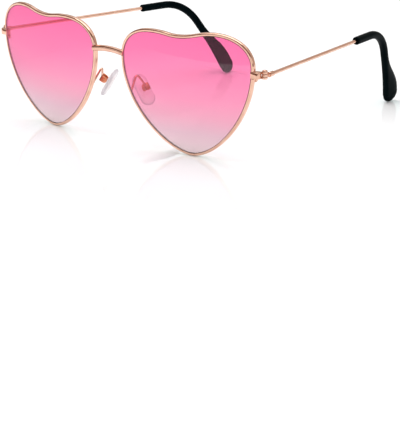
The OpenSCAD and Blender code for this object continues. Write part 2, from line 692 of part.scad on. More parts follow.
rim(1);  // rim_left
rim(-1);  // rim_right
lens(1);  // lens_left
lens(-1);  // lens_right
bridge();
end_piece(1);  // end_piece_left
end_piece(-1);  // end_piece_right
rim_lock(1);  // rim_lock_left
rim_lock(-1);  // rim_lock_right
rim_lock_screws();
hinge_screws();
nose_pad_screws();
nose_pad_arm(1);  // nose_pad_arm_left
nose_pad_arm(-1);  // nose_pad_arm_right
nose_pad_box(1);  // nose_pad_box_left
nose_pad_box(-1);  // nose_pad_box_right
nose_pad_core(1);  // nose_pad_core_left
nose_pad_core(-1);  // nose_pad_core_right
nose_pad(1);  // nose_pad_left
nose_pad(-1);  // nose_pad_right
temple_hinge(1);  // temple_hinge_left
temple_hinge(-1);  // temple_hinge_right
temple_wire(1);  // temple_wire_left
temple_wire(-1);  // temple_wire_right
temple_tip(1);  // temple_tip_left
temple_tip(-1);  // temple_tip_right
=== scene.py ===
"""Heart shaped sunglasses: the pieces that are seen, their finishes and the studio round them."""

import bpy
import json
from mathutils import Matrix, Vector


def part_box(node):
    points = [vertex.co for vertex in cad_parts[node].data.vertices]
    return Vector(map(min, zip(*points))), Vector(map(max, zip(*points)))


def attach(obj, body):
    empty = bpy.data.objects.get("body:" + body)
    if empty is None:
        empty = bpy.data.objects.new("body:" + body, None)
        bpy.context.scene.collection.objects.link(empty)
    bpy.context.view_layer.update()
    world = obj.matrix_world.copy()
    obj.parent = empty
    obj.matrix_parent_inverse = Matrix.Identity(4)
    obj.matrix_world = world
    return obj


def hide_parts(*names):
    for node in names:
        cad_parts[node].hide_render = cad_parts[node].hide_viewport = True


bl_info = {
    "name": "Heart shaped sunglasses",
    "version": (1, 0, 0),
    "blender": (4, 5, 0),
    "location": "3D View > Sidebar > Sunglasses",
    "description": "Builds the pieces and finishes of a pair of heart shaped metal sunglasses",
    "category": "Add Mesh",
}

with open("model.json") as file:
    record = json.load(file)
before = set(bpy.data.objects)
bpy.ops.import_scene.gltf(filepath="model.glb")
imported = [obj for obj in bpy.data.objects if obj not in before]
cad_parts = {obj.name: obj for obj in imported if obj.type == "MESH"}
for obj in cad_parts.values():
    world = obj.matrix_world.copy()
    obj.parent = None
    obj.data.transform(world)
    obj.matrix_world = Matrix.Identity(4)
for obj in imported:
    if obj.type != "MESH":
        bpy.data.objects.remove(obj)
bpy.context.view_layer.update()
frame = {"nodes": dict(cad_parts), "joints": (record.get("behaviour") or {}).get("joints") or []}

import json
import math
from functools import partialmethod

import bmesh
import bpy
from mathutils import Matrix, Vector

# Six points of the heart, seen from the front with +x away from the nose: place, handle lengths before
# and after the point, and direction, as shares of half the width across and half the height upwards
HEART_SHARES = (
    ((1.0, 0.514), 0.827, 0.283, (0, 1)),
    ((0.446, 1.0), 0.332, 0.213, (-1, 0)),
    ((-0.073, 0.928), 0.253, 0.147, (-1, 0)),
    ((-0.464, 0.965), 0.222, 0.336, (-1, 0)),
    ((-1.0, 0.471), 0.305, 0.808, (0, -1)),
    ((0.016, -1.0), 0.337, 0.357, (1, 0)),
)
HEART_POINTS = len(HEART_SHARES)
# Steps along the stretch that starts at each point, and the stretches on the nose side and the outer side
HEART_STEPS = (28, 18, 16, 28, 44, 44)
NOSE_STRETCH = 4
OUTER_STRETCH = 5
# Corners of the rim wire's section, outwards and backwards, as shares of half its thickness and depth
RIM_CORNER_SHARES = ((-1, -0.8), (-0.68, -1), (0.35, -1), (0.85, -0.72), (1, -0.47),
                     (1, 0.47), (0.85, 0.72), (0.35, 1), (-0.68, 1), (-1, 0.8))
SIDES = ("left", "right")
MIRROR = Matrix.Diagonal((-1, 1, 1, 1))


# Properties

def linear(code):
    """A colour as six hexadecimal digits, made linear, with full opacity."""
    parts = [int(code[i:i + 2], 16) / 255 for i in (0, 2, 4)]
    return tuple(c / 12.92 if c <= 0.04045 else ((c + 0.055) / 1.055) ** 2.4 for c in parts) + (1.0,)


def prop(kind, convert=lambda value: value, **fixed):
    """A short way to write one kind of property. Convert changes a default into what is stored."""
    def made(name, text, value):
        return kind(name=name, description=text, default=convert(value), **fixed)
    return made


length = prop(bpy.props.FloatProperty, precision=5, unit="LENGTH")
lengths = prop(bpy.props.FloatVectorProperty, precision=5, unit="LENGTH")
location = prop(bpy.props.FloatVectorProperty, subtype="TRANSLATION")
share = prop(bpy.props.FloatProperty, min=0, max=1, subtype="FACTOR")
span = prop(bpy.props.FloatVectorProperty, size=2, min=0, max=1)
number = prop(bpy.props.FloatProperty)
pixels = prop(bpy.props.FloatProperty, subtype="PIXEL")
watts = prop(bpy.props.FloatProperty, unit="POWER")
count = prop(bpy.props.IntProperty, min=0)
angle = prop(bpy.props.FloatProperty, math.radians, subtype="ANGLE")
colour = prop(bpy.props.FloatVectorProperty, linear, size=4, min=0, max=1, subtype="COLOR")


class RimSettings(bpy.types.PropertyGroup):
    """The heart shaped rim wires and the sphere that they lie on."""
    width: length("Rim width", "Width of one heart, outside", 0.060)
    height: length("Rim height", "Height of one heart, outside", 0.050)
    base_radius: length("Base radius", "Radius of the sphere that both lenses lie on", 0.134)
    wrap: angle("Wrap", "Angle that each heart is turned back towards its temple", 7.4)
    tilt: angle("Tilt", "Angle that the hearts lean, with the top forwards", 6.4)
    thickness: length("Wire thickness", "Thickness of the rim wire, seen from the front", 0.0012)
    depth: length("Wire depth", "Depth of the rim wire, front to back", 0.0019)
    groove_depth: length("Groove depth", "Depth of the lens groove", 0.00045)
    groove_width: length("Groove width", "Width of the lens groove", 0.0009)
    corner: length("Corner radius", "Rounding of the wire's edges", 0.00016)
    corner_steps: count("Corner steps", "Points on each rounded edge of the wire", 3)
    spacing: length("Ring spacing", "Distance between two sections of the sweep", 0.00035)
    split: length("Split", "Gap between the two ends of the rim wire", 0.0002)
    # The lip is the wire's lens side, which the rim plating darkens as painted shade and painted dark
    # reflection
    lip_share: share("Lip", "Share of half the wire's thickness at which the dull lens side begins", 0.71)
    hinge_share: share("Hinge place", "Place of the hinge along the outer side of the heart", 0.96)


class LensSettings(bpy.types.PropertyGroup):
    """The tinted lenses."""
    thickness: length("Thickness", "Thickness of the lens", 0.0014)
    edge: length("Edge thickness", "Thickness of the edge that stands in the groove", 0.0007)
    gap: length("Gap", "Gap between the lens and the rim", 0.00008)
    rings: count("Rings", "Rings of faces from the middle to the edge", 14)
    ring_power: number("Ring power", "Power that draws the rings together towards the edge", 0.8)
    top: colour("Top tint", "Tint at the top of the lens", "FC73A9")
    upper: colour("Upper tint", "Tint above the middle", "F980AE")
    middle: colour("Middle tint", "Tint at the middle", "F08EB2")
    lower: colour("Lower tint", "Tint below the middle", "E69FB7")
    low: colour("Low tint", "Tint near the bottom of the lens", "D9B4C2")
    bottom: colour("Bottom tint", "Tint at the bottom of the lens", "DBC8CC")
    index: number("Refraction", "Index of refraction", 1.6)
    gloss: share("Roughness", "Roughness of the polished faces", 0.0)
    shadow: share("Shadow tint", "Share of the tint that the lens gives to its shadow", 0.1)


class FinishSettings(bpy.types.PropertyGroup):
    """The metals, the black sleeves and the silicone."""
    rose: colour("Rose gold", "Colour of the plated wire", "F1C9B3")
    rose_deep: colour("Deep rose gold", "Colour in the plating's darker patches", "DFAE97")
    rose_rough: span("Rose gold gloss", "Lowest and highest roughness of the rose gold", (0.07, 0.15))
    # Painted shade and painted dark reflection on the rim's edge beside the lens
    lip: colour("Lip", "Colour of the rim's edge beside the lens", "5E281E")
    copper: colour("Copper", "Colour of the pad boxes and their screws", "F0A27E")
    copper_deep: colour("Deep copper", "Colour in the copper's darker patches", "D6845E")
    copper_rough: span("Copper gloss", "Lowest and highest roughness of the copper", (0.3, 0.45))
    black: colour("Sleeve black", "Colour of the temple tips", "01080B")
    black_worn: colour("Worn black", "Colour of the tips' faint rubbed patches", "0A1416")
    black_rough: span("Sleeve gloss", "Lowest and highest roughness of the temple tips", (0.26, 0.38))
    silicone: colour("Silicone", "Colour of the nose pads", "FBF8F7")
    silicone_deep: colour("Deep silicone", "Colour in the silicone's cloudy patches", "F8F4F4")
    # Painted shade that darkens the pads towards their edge
    silicone_edge: colour("Silicone edge", "Colour of the moulded edge of the pads", "CBC3C8")
    silicone_rough: span("Silicone frost", "Lowest and highest roughness of the nose pads", (0.28, 0.36))


class FrontSettings(bpy.types.PropertyGroup):
    """The bridge, the end pieces and the rim locks."""
    bridge_height: length("Bridge height", "Height of the bridge bar's section", 0.0024)
    bridge_depth: length("Bridge depth", "Depth of the bridge bar's section", 0.0020)
    bridge_rise: length("Bridge rise", "Rise of the bar's middle above its ends", 0.0008)
    bridge_length: length("Bridge length", "Length of the bar from end to end", 0.0160)
    hinge_out: length("Hinge outwards", "Distance from the rim wire out to the hinge axis", 0.0034)
    hinge_back: length("Hinge backwards", "Distance from the rim wire back to the hinge axis", 0.0025)
    strap_height: length("Strap height", "Height of the end piece", 0.0026)
    strap: length("Strap thickness", "Thickness of the end piece's strap", 0.0011)
    strap_lap: length("Strap lap", "Overlap of the strap in front of the rim wire", 0.0003)
    leg_outside: length("Leg", "Distance from the hinge axis out to the strap's outer face", 0.0005)
    leg_back: length("Leg back", "Distance from the hinge axis forwards to the strap's end", 0.00035)
    web_back: length("Web back", "Distance from the hinge axis forwards to the web's end", 0.0006)
    barrel_room: length("Barrel room", "Gap between the strap and the middle barrel", 0.00015)
    edge: length("Edge", "Rounding of the edges of the small metal pieces", 0.00012)
    barrel: length("Barrel", "Outer radius of the hinge barrels", 0.0011)
    barrel_mid: length("Middle barrel", "Height of the middle barrel", 0.0010)
    barrel_end: length("Outer barrel", "Height of each outer barrel", 0.00095)
    barrel_gap: length("Barrel gap", "Gap between two barrels", 0.00005)
    bore: length("Bore", "Radius of the hinge screw's hole", 0.00062)
    lock_radius: length("Lock radius", "Outer radius of the rim lock", 0.00075)
    lock_bore: length("Lock bore", "Radius of the lock screw's hole", 0.00047)
    lock_back: length("Lock back", "Distance from the rim wire back to the lock screw", 0.00163)
    lock_upper: length("Upper lock", "Height of the upper half of the rim lock", 0.0022)
    lock_lower: length("Lower lock", "Height of the lower half of the rim lock", 0.0012)
    lock_web: length("Lock web", "Width of the web beside the lock", 0.0014)


class ScrewSettings(bpy.types.PropertyGroup):
    """The slotted screws. Each size is the radius and height of the head and the radius of the shank."""
    hinge: lengths("Hinge screw", "Head radius, head height and shank radius", (0.00095, 0.00045, 0.0006))
    lock: lengths("Lock screw", "Head radius, head height and shank radius", (0.0007, 0.0004, 0.00045))
    pad: lengths("Pad screw", "Head radius, head height and shank radius", (0.00075, 0.00035, 0.0004))
    lock_length: length("Lock screw length", "Length of the lock screw under its head", 0.0033)
    seat: length("Seat", "Gap between a screw's head and what it sits on", 0.00003)
    dome: share("Dome", "Share of the head's height that is domed", 0.65)
    slot_width: length("Slot width", "Width of the slot for the driver", 0.00028)
    slot_depth: length("Slot depth", "Depth of the slot for the driver", 0.0002)
    seed: count("Seed", "Seed of the screws' random turns", 3)


class PadSettings(bpy.types.PropertyGroup):
    """The nose pads, their boxes and their arms."""
    lean: angle("Lean", "Lean of the pad, with its top inwards", 35)
    splay: angle("Splay", "Angle that the pad faces backwards", 22)
    length: length("Pad length", "Length of the pad", 0.0134)
    width: length("Pad width", "Width of the pad", 0.0060)
    thickness: length("Pad thickness", "Thickness of the pad in its middle", 0.0022)
    stand: length("Pad stand", "Distance from the pivot to the middle of the pad", 0.0026)
    edge_power: number("Edge power", "Power that fills out the pad's outline towards its edge", 0.38)
    dome_power: number("Dome power", "Power that domes the pad's two faces", 0.9)
    box_radius: length("Box radius", "Radius of the round front of the pad box", 0.0014)
    box_back: length("Box back", "Distance from the pivot to the back of the box", 0.00155)
    box_wall: length("Box wall", "Thickness of the back wall of the box", 0.0006)
    box_width: length("Box width", "Width of the box along the pad screw", 0.0022)
    cheek: length("Cheek", "Thickness of each cheek of the box", 0.00055)
    arm_radius: length("Arm radius", "Radius of the pad arm's wire", 0.00045)
    arch_radius: length("Arch radius", "Radius of the arch at the top of the pad arm", 0.0010)
    arch: location("Arch", "Place of the arch from the pad pivot", (-0.0019, -0.0031, 0.0057))
    arm_share: share("Arm place", "Place of the arm's foot along the nose side of the heart", 0.25)


class TempleSettings(bpy.types.PropertyGroup):
    """The temple wires, their hinges and their black tips."""
    length: length("Temple length", "Distance from the hinge axis to the bend", 0.1000)
    sleeve_start: length("Sleeve start", "Distance from the hinge axis to the black tip", 0.0750)
    drop_length: length("Drop length", "Distance from the bend to the start of the flare", 0.0154777)
    wire: length("Wire radius", "Radius of the temple wire", 0.000725)
    offset: length("Wire offset", "Distance from the hinge axis outwards to the wire", 0.0010)
    converge: angle("Converge", "Angle that each temple closes in towards its end", 8.8)
    drop: angle("Drop", "Angle that the tip drops below the temple", 56)
    lean: angle("Lean", "Angle that the tip leans inwards", 10)
    bend: length("Bend radius", "Radius of the bend, at the middle of the wire", 0.0220)
    socket: length("Socket radius", "Outer radius of the socket that holds the wire", 0.0010)
    socket_play: length("Socket play", "Gap round the wire in its socket", 0.00003)
    socket_length: length("Socket length", "Length of the socket", 0.0030)
    socket_start: length("Socket start", "Distance from the hinge axis to the socket", 0.0014)
    socket_floor: length("Socket floor", "Thickness of the socket's floor", 0.0005)
    tip: length("Tip radius", "Outer radius of the tip along the wire", 0.0016)
    paddle_width: length("Paddle width", "Width of the paddle at the tip's end", 0.00856)
    paddle: length("Paddle thickness", "Thickness of the paddle", 0.0030)
    paddle_length: length("Paddle length", "Length of the paddle at its full width", 0.0050)
    paddle_turn: angle("Paddle turn", "Angle that the paddle turns outwards along the head", 12)
    curve: angle("Tip curve", "Angle that the tip curves on downwards as it flares", 12)
    flare: length("Flare", "Length over which the tip flares into the paddle", 0.0270)
    paddle_round: length("Paddle rounding", "Length of the rounding at the paddle's end", 0.0038)
    wire_short: length("Wire short", "Length of tip beyond the end of the wire", 0.0090)
    mouth: length("Mouth depth", "Depth of the open mouth of the sleeve", 0.0012)
    mouth_bore: length("Mouth bore", "Radius of the open mouth of the sleeve", 0.000812)
    mouth_round: length("Mouth rounding", "Length of the rounding of the mouth's rim", 0.0003)
    mouth_edge: share("Mouth edge", "Share of the tip's radius that the mouth's rounding takes", 0.14)
    square: number("Squareness", "Power that makes the tip's sections squarer than an ellipse", 0.85)


class StudioSettings(bpy.types.PropertyGroup):
    """The floor, the lamps and the camera."""
    azimuth: angle("Azimuth", "Turn of the camera round the object", 39.877)
    elevation: angle("Elevation", "Angle of the camera above the floor", 17.697)
    distance: length("Distance", "Distance from the camera to the point that it was set up on", 0.64148)
    aim: location("Aim", "Point that the camera was set up on", (0.0, -0.0450986, 0.0250))
    aim_across: pixels("Aim across", "Place of that point in the picture, in pixels from the left", 146.077)
    aim_down: pixels("Aim down", "Place of that point in the picture, in pixels from the top", 72.0755)
    focal: pixels("Focal length", "Focal length of the camera, in pixels", 1590.88)
    wide: pixels("Picture width", "Width of the picture in pixels", 400)
    high: pixels("Picture height", "Height of the picture in pixels", 437)
    floor: colour("Floor", "Colour of the floor", "FAFAFA")
    floor_reach: length("Floor reach", "Distance from the middle to the edges of the floor", 6.0)
    floor_lit: length("Lit floor", "Distance at which the floor starts to turn white", 0.20)
    layer: length("Layer", "Small height that keeps the floor and the flags on it apart", 0.0001)
    mirror: share("Mirror", "Share of the floor's light that it mirrors at the object's feet", 0.25)
    mirror_tint: colour("Mirror tint", "Colour of what the floor mirrors", "E8FFFD")
    mirror_reach: length("Mirror reach", "Distance before the feet at which the mirror fades out", 0.148)
    mirror_side: length("Mirror side", "Distance beside the feet at which the mirror fades out", 0.016)
    flag_dark: colour("Dark flag", "Colour of the flags in front, as the metals see them", "6E4630")
    flag_soft: colour("Soft flag", "Colour of the flags behind, as the metals see them", "CCC2BA")
    flag_grey: colour("Grey flag", "Colour of the flags, as the lenses see them", "A4A4A4")
    flag_radius: length("Flag distance", "Distance to the ring of flags", 0.90)
    flag_low: length("Flag bottom", "Height of the lower edge of the ring of flags", 0.0)
    flag_high: length("Flag top", "Height of the upper edge of the ring of flags", 0.70)
    flag_rise: length("Flag rise", "Height that the ring of flags is raised by in front", 0.24)
    flag_front: length("Front flag", "Distance forwards to the flag on the floor", 0.235)
    flag_side: length("Side flag", "Distance sideways to the flag on the floor beside the object", 0.030)
    flag_soft_edge: length("Soft edge", "Width of the side flag's soft edge", 0.100)
    ambient: number("Ambient", "Strength of the light that comes from all round", 0.72)
    key: watts("Key lamp", "Power of the large lamp overhead, in watts", 3.2)
    key_place: location("Key lamp place", "Place of the lamp overhead", (0.0, -0.05, 0.75))
    side: watts("Side lamp", "Power of the lamp at the side, in watts", 1.2)
    side_place: location("Side lamp place", "Place of the lamp at the side", (-0.62, -0.42, 0.38))


GROUPS = {"rims": RimSettings, "lenses": LensSettings, "finish": FinishSettings, "front": FrontSettings,
          "screws": ScrewSettings, "pads": PadSettings, "temples": TempleSettings, "studio": StudioSettings}


def settings(name):
    """The values of one group, as they stand in the scene."""
    return getattr(bpy.context.scene, "sunglasses_" + name)


# The heart and the frames of the pieces

class Heart:
    """The curve of one rim and its place on the lens sphere, in metres."""

    def __init__(self):
        s = settings("rims")
        self.half = ((s.width - s.thickness) / 2, (s.height - s.thickness) / 2)
        self.radius = s.base_radius
        turn = Matrix.Rotation(s.tilt, 4, "X") @ Matrix.Rotation(s.wrap, 4, "Z")
        ring = [turn @ self.on_sphere(k, out * s.thickness / 2, back * s.depth / 2)
                for k in self.places() for out, back in RIM_CORNER_SHARES]
        low = Vector([min(p[i] for p in ring) for i in range(3)])
        # The low corner of the heart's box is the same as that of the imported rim
        self.frame = Matrix.Translation(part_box("rim_left")[0] - low) @ turn

    def scaled(self, pair):
        """A pair of shares made a length across and a length upwards."""
        return Vector((pair[0] * self.half[0], pair[1] * self.half[1]))

    def anchor(self, i):
        return self.scaled(HEART_SHARES[i % HEART_POINTS][0])

    def handle(self, i, after):
        _, before_share, after_share, way = HEART_SHARES[i % HEART_POINTS]
        return self.anchor(i) + self.scaled(way) * (after_share if after else -before_share)

    def stretch(self, i):
        return [self.anchor(i), self.handle(i, True), self.handle(i + 1, False), self.anchor(i + 1)]

    def point(self, k):
        a, b, c, d = self.stretch(int(k) % HEART_POINTS)
        t = k % 1
        return a * (1 - t) ** 3 + b * 3 * (1 - t) ** 2 * t + c * 3 * (1 - t) * t ** 2 + d * t ** 3

    def slope(self, k):
        a, b, c, d = self.stretch(int(k) % HEART_POINTS)
        t = k % 1
        return (b - a) * 3 * (1 - t) ** 2 + (c - b) * 6 * (1 - t) * t + (d - c) * 3 * t ** 2

    def normal(self, k):
        s = self.slope(k).normalized()
        return Vector((s.y, -s.x))

    def places(self):
        return [i + j / n for i, n in enumerate(HEART_STEPS) for j in range(n)]

    def outline(self, out):
        """The heart at a distance outwards from the middle of the wire."""
        return [self.point(k) + self.normal(k) * out for k in self.places()]

    def sag(self, p, offset=0.0):
        """Distance backwards of the lens sphere at a point, or of a sphere about the same centre."""
        return self.radius - math.sqrt((self.radius + offset) ** 2 - p.length_squared)

    def on_sphere(self, k, out, back):
        """A point beside the wire, as across, backwards and up."""
        p = self.point(k) + self.normal(k) * out
        return Vector((p.x, self.sag(p) + back, p.y))

    def hinge_place(self):
        return OUTER_STRETCH + settings("rims").hinge_share

    def split_places(self):
        """Places of the two ends of the wire, which is split just below the end piece."""
        s, speed = settings("rims"), self.slope(self.hinge_place()).length
        middle = self.hinge_place() - (settings("front").strap_height + s.split) / 2 / speed
        return middle + s.split / 2 / speed, middle - s.split / 2 / speed

    def hinge_side_frame(self):
        """A frame on the wire beside the hinge with +Z along it, +X outwards and +Y about back."""
        k = self.hinge_place()
        n, p = self.normal(k), self.point(k)
        rise = math.atan(p.dot(Vector((-n.y, n.x))) / (self.radius - self.sag(p)))
        x = Vector((n.x, 0, n.y))
        z = Vector((-n.y * math.cos(rise), math.sin(rise), n.x * math.cos(rise)))
        return self.frame @ basis(x, z.cross(x), z, self.on_sphere(k, 0, 0))


def basis(x, y, z, middle):
    """A frame from its three directions and its middle."""
    return Matrix.Translation(middle) @ Matrix((x, y, z)).transposed().to_4x4()


def joint_place(name):
    """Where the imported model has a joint."""
    return Vector(next(j["pos_m"] for j in frame["joints"] if j["name"] == name))


def hinge_frame():
    return Matrix.Translation(joint_place("left_temple_fold"))


def temple_frame():
    return hinge_frame() @ Matrix.Rotation(settings("temples").converge, 4, "Z")


def pad_frame():
    s = settings("pads")
    return (Matrix.Translation(joint_place("left_pad_rock"))
            @ Matrix.Rotation(-s.lean, 4, "Y") @ Matrix.Rotation(-s.splay, 4, "Z"))


# Meshes

# Share of an edge's rounding by which its middle point is cut in, and angle from which an edge is rounded
EDGE_CUT = 0.3
EDGE_ANGLE = math.radians(25)
# Points between two knots of a path that a section is swept along
PATH_STEPS = 48


def put(name, data):
    """A new object in the scene."""
    made = bpy.data.objects.new(name, data)
    bpy.context.scene.collection.objects.link(made)
    return made


def finished(bm, matrix=Matrix()):
    """A mesh from closed shells, with its faces outwards."""
    bmesh.ops.transform(bm, matrix=matrix, verts=bm.verts)
    bmesh.ops.recalc_face_normals(bm, faces=bm.faces)
    mesh = bpy.data.meshes.new("mesh")
    bm.to_mesh(mesh)
    bm.free()
    return mesh


def loft(bm, rings, closed=False):
    """Faces through rings of points. A ring of one point is a pole, and an open end gets a cap."""
    rows = [[bm.verts.new(p) for p in ring] for ring in rings]
    pairs = list(zip(rows, rows[1:])) + ([(rows[-1], rows[0])] if closed else [])
    for a, b in pairs:
        for i in range(max(len(a), len(b))):
            corners = [a[i % len(a)], a[(i + 1) % len(a)], b[(i + 1) % len(b)], b[i % len(b)]]
            bm.faces.new(list(dict.fromkeys(corners)))
    if not closed:
        for row in (rows[0], rows[-1]):
            if len(row) > 1:
                bm.faces.new(row)


def lofted(rings, matrix=Matrix()):
    """The mesh of one loft."""
    bm = bmesh.new()
    loft(bm, rings)
    return finished(bm, matrix)


def turned(bm, profile, matrix=Matrix(), closed=False, sides=40):
    """A solid of revolution about +Z through points of radius and height."""
    def ring(radius, height):
        turns = [math.tau * i / sides for i in range(sides)] if radius else [0]
        return [matrix @ Vector((radius * math.cos(t), radius * math.sin(t), height)) for t in turns]
    loft(bm, [ring(*p) for p in profile], closed)


def tube(bm, outer, bore, low, high, edge, matrix=Matrix()):
    """A short tube with rounded edges."""
    cut = edge * EDGE_CUT
    turned(bm, [(bore, low), (outer - edge, low), (outer - cut, low + cut), (outer, low + edge),
                (outer, high - edge), (outer - cut, high - cut), (outer - edge, high), (bore, high)],
           matrix, closed=True)


def prism(bm, outline, low, high, edge, matrix=Matrix()):
    """An outline drawn up from low to high, with its sharp edges rounded."""
    part = bmesh.new()
    loft(part, [[Vector((x, y, z)) for x, y in outline] for z in (low, high)])
    bmesh.ops.recalc_face_normals(part, faces=part.faces)
    sharp = [e for e in part.edges if e.calc_face_angle(0) > EDGE_ANGLE]
    bmesh.ops.bevel(part, geom=sharp, offset=edge, offset_type="OFFSET", segments=3, profile=0.5,
                    affect="EDGES", clamp_overlap=True)
    mesh = finished(part, matrix)
    bm.from_mesh(mesh)
    bpy.data.meshes.remove(mesh)


def slab(bm, low, high, edge, matrix=Matrix()):
    """A rounded block between two corners."""
    prism(bm, [(low[0], low[1]), (high[0], low[1]), (high[0], high[1]), (low[0], high[1])],
          low[2], high[2], edge, matrix)


def arc(centre, radius, start, stop, steps):
    """Points on an arc, with its angles in degrees."""
    turns = [math.radians(start + (stop - start) * i / steps) for i in range(steps + 1)]
    return [(centre[0] + radius * math.cos(t), centre[1] + radius * math.sin(t)) for t in turns]


def stadium(length, width, steps):
    """The outline of a bar with round ends."""
    end, reach = width / 2, (length - width) / 2
    return arc((reach, 0), end, -90, 90, steps) + arc((-reach, 0), end, 90, 270, steps)


def signed_power(value, power):
    """The power of a number's size, with the number's sign."""
    return math.copysign(abs(value) ** power, value)


def bent_path(a, corner, b, radius, step):
    """Points that run straight, turn in an arc at the corner and run straight again. Step is in degrees."""
    d1, d2 = (corner - a).normalized(), (b - corner).normalized()
    turn = d1.angle(d2)
    inward = (d2 - d1 * math.cos(turn)) / math.sin(turn)
    centre = corner - d1 * radius * math.tan(turn / 2) + inward * radius
    steps = max(2, round(turn / math.radians(step)))
    turns = [turn * i / steps for i in range(steps + 1)]
    return [a, *(centre + (d1 * math.sin(t) - inward * math.cos(t)) * radius for t in turns), b]


def cut_after(stretch, t):
    """The part of a curve's stretch after t."""
    a, b, c, d = stretch
    ab, bc, cd = a.lerp(b, t), b.lerp(c, t), c.lerp(d, t)
    return [ab.lerp(bc, t).lerp(bc.lerp(cd, t), t), bc.lerp(cd, t), cd, d]


def cut_before(stretch, t):
    """The part of a curve's stretch before t."""
    return cut_after(stretch[::-1], 1 - t)[::-1]


def add_piece(name, mesh, node, finish="rose_gold_plating", body="front", sharp=35):
    """Puts a finished mesh on its body, in place of its CAD node. Edges sharper than an angle stay sharp."""
    mesh.name = name
    mesh.materials.clear()
    mesh.materials.append(finish_of(finish))
    mesh.shade_smooth()
    mesh.set_sharp_from_angle(angle=math.radians(sharp))
    piece = put(name, mesh)
    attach(piece, body)
    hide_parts(node)


def add_pair(name, mesh, node, finish="rose_gold_plating", body="front", sharp=35):
    """A left piece and its mirror image. The body may hold the side's name."""
    twin = mesh.copy()
    twin.transform(MIRROR)
    twin.flip_normals()
    for side, half in zip(SIDES, (mesh, twin)):
        add_piece(f"{name}_{side}", half, f"{node}_{side}", finish, body.format(side=side), sharp)


# Node trees

class Nodes:
    """A node tree and short ways to add to it. Where a value is a node, its first output is meant."""

    def __init__(self, tree):
        self.tree = tree

    def add(self, family, kind, inputs=None, **values):
        """A node with its settings, whose inputs are linked from a socket or set to a value."""
        made = self.tree.nodes.new(family + kind)
        for key, value in values.items():
            setattr(made, key, value)
        for key, value in (inputs or {}).items():
            if isinstance(value, bpy.types.Node):
                value = value.outputs[0]
            if isinstance(value, bpy.types.NodeSocket):
                self.tree.links.new(value, made.inputs[key])
            else:
                made.inputs[key].default_value = value
        return made

    shader = partialmethod(add, "ShaderNode")
    geometry = partialmethod(add, "GeometryNode")
    function = partialmethod(add, "FunctionNode")

    def maths(self, operation, *values):
        """One sum on numbers or sockets."""
        return self.shader("Math", dict(enumerate(values)), operation=operation)

    def product(self, first, *others):
        for other in others:
            first = self.maths("MULTIPLY", first, other)
        return first

    def vector(self, **parts):
        return self.shader("CombineXYZ", parts)

    def parts(self, vector):
        """The x, y and z of a vector."""
        return self.shader("SeparateXYZ", {0: vector}).outputs

    def ramp(self, value, start, stop):
        """A number that goes from 0 to 1 while a value goes from start to stop."""
        return self.shader("MapRange", {"Value": value, "From Min": start, "From Max": stop})

    def between(self, factor, low, high):
        """A number that follows a factor from low to high."""
        return self.shader("MapRange", {"Value": factor, "To Min": low, "To Max": high})

    def mixed(self, factor, first, second):
        """A colour that follows a factor from the first to the second."""
        return self.shader("Mix", {0: factor, 6: first, 7: second}, data_type="RGBA").outputs[2]

    def blended(self, factor, first, second):
        """A shader that follows a factor from the first to the second."""
        return self.shader("MixShader", {0: factor, 1: first, 2: second})

    def noise(self, place, waves, detail=3.0, squash=(1, 1, 1)):
        """Noise from 0 to 1 with its scale as waves for each metre."""
        stretched = self.shader("Mapping", {"Vector": place, "Scale": squash})
        return self.shader("TexNoise", {"Vector": stretched, "Scale": waves, "Detail": detail})

    def mark(self, name):
        """A number that a mesh carries as an attribute."""
        return self.shader("Attribute", attribute_name=name).outputs["Fac"]

    def rays(self):
        return self.shader("LightPath").outputs

    def clear_shadow(self, surface, tint):
        """A surface that lets the lamps through and colours their light."""
        clear = self.shader("BsdfTransparent", {"Color": tint})
        return self.blended(self.rays()["Is Shadow Ray"], surface, clear)

    def surface(self, shader):
        self.shader("OutputMaterial", {"Surface": shader})

    def from_object(self, source):
        return self.geometry("ObjectInfo", {"Object": source}).outputs["Geometry"]

    def finish(self, result, material):
        """Realizes what the tree made, gives it its finish and sends it out."""
        real = self.geometry("RealizeInstances", {0: result})
        painted = self.geometry("SetMaterial", {"Geometry": real, "Material": material})
        self.add("NodeGroup", "Output", {0: painted})


def new_tree(name, inputs):
    """An empty tree with named inputs, and the sockets that bring them in."""
    tree = bpy.data.node_groups.new(name, "GeometryNodeTree")
    tree.interface.new_socket("Geometry", in_out="INPUT", socket_type="NodeSocketGeometry")
    for label, kind in inputs.items():
        tree.interface.new_socket(label, in_out="INPUT", socket_type="NodeSocket" + kind)
    tree.interface.new_socket("Geometry", in_out="OUTPUT", socket_type="NodeSocketGeometry")
    return Nodes(tree), tree.nodes.new("NodeGroupInput").outputs


def curve_object(name, points, kind="POLY", cyclic=False):
    """A curve for a tree to read. Bezier points come as (left handle, point, right handle)."""
    data = bpy.data.curves.new(name, "CURVE")
    data.dimensions = "3D"
    spline = data.splines.new(kind)
    spline.use_cyclic_u = cyclic
    if kind == "POLY":
        spline.points.add(len(points) - 1)
        for p, at in zip(spline.points, points):
            p.co = (*at, 1)
    else:
        spline.resolution_u = PATH_STEPS
        spline.bezier_points.add(len(points) - 1)
        for p, (before, at, after) in zip(spline.bezier_points, points):
            p.handle_left_type = p.handle_right_type = "FREE"
            p.handle_left, p.co, p.handle_right = before, at, after
    return put(name, data)


def grown(tree, values, finish="rose_gold_plating", points=None):
    """The plain mesh that a tree makes from the values of its inputs. Objects among them are used up."""
    host = put("host", points or bpy.data.meshes.new("host"))
    modifier = host.modifiers.new("tree", "NODES")
    modifier.node_group = tree
    values["Finish"] = finish_of(finish)
    for item in tree.interface.items_tree:
        if item.in_out == "INPUT" and item.name in values:
            modifier[item.identifier] = values[item.name]
    host.update_tag()
    view = bpy.context.evaluated_depsgraph_get()
    mesh = bpy.data.meshes.new_from_object(host.evaluated_get(view), depsgraph=view)
    host.modifiers.remove(modifier)
    for used in [host] + [value for value in values.values() if isinstance(value, bpy.types.Object)]:
        bpy.data.objects.remove(used)
    if not mesh.polygons:
        raise RuntimeError(f"{tree.name} made nothing")
    return mesh


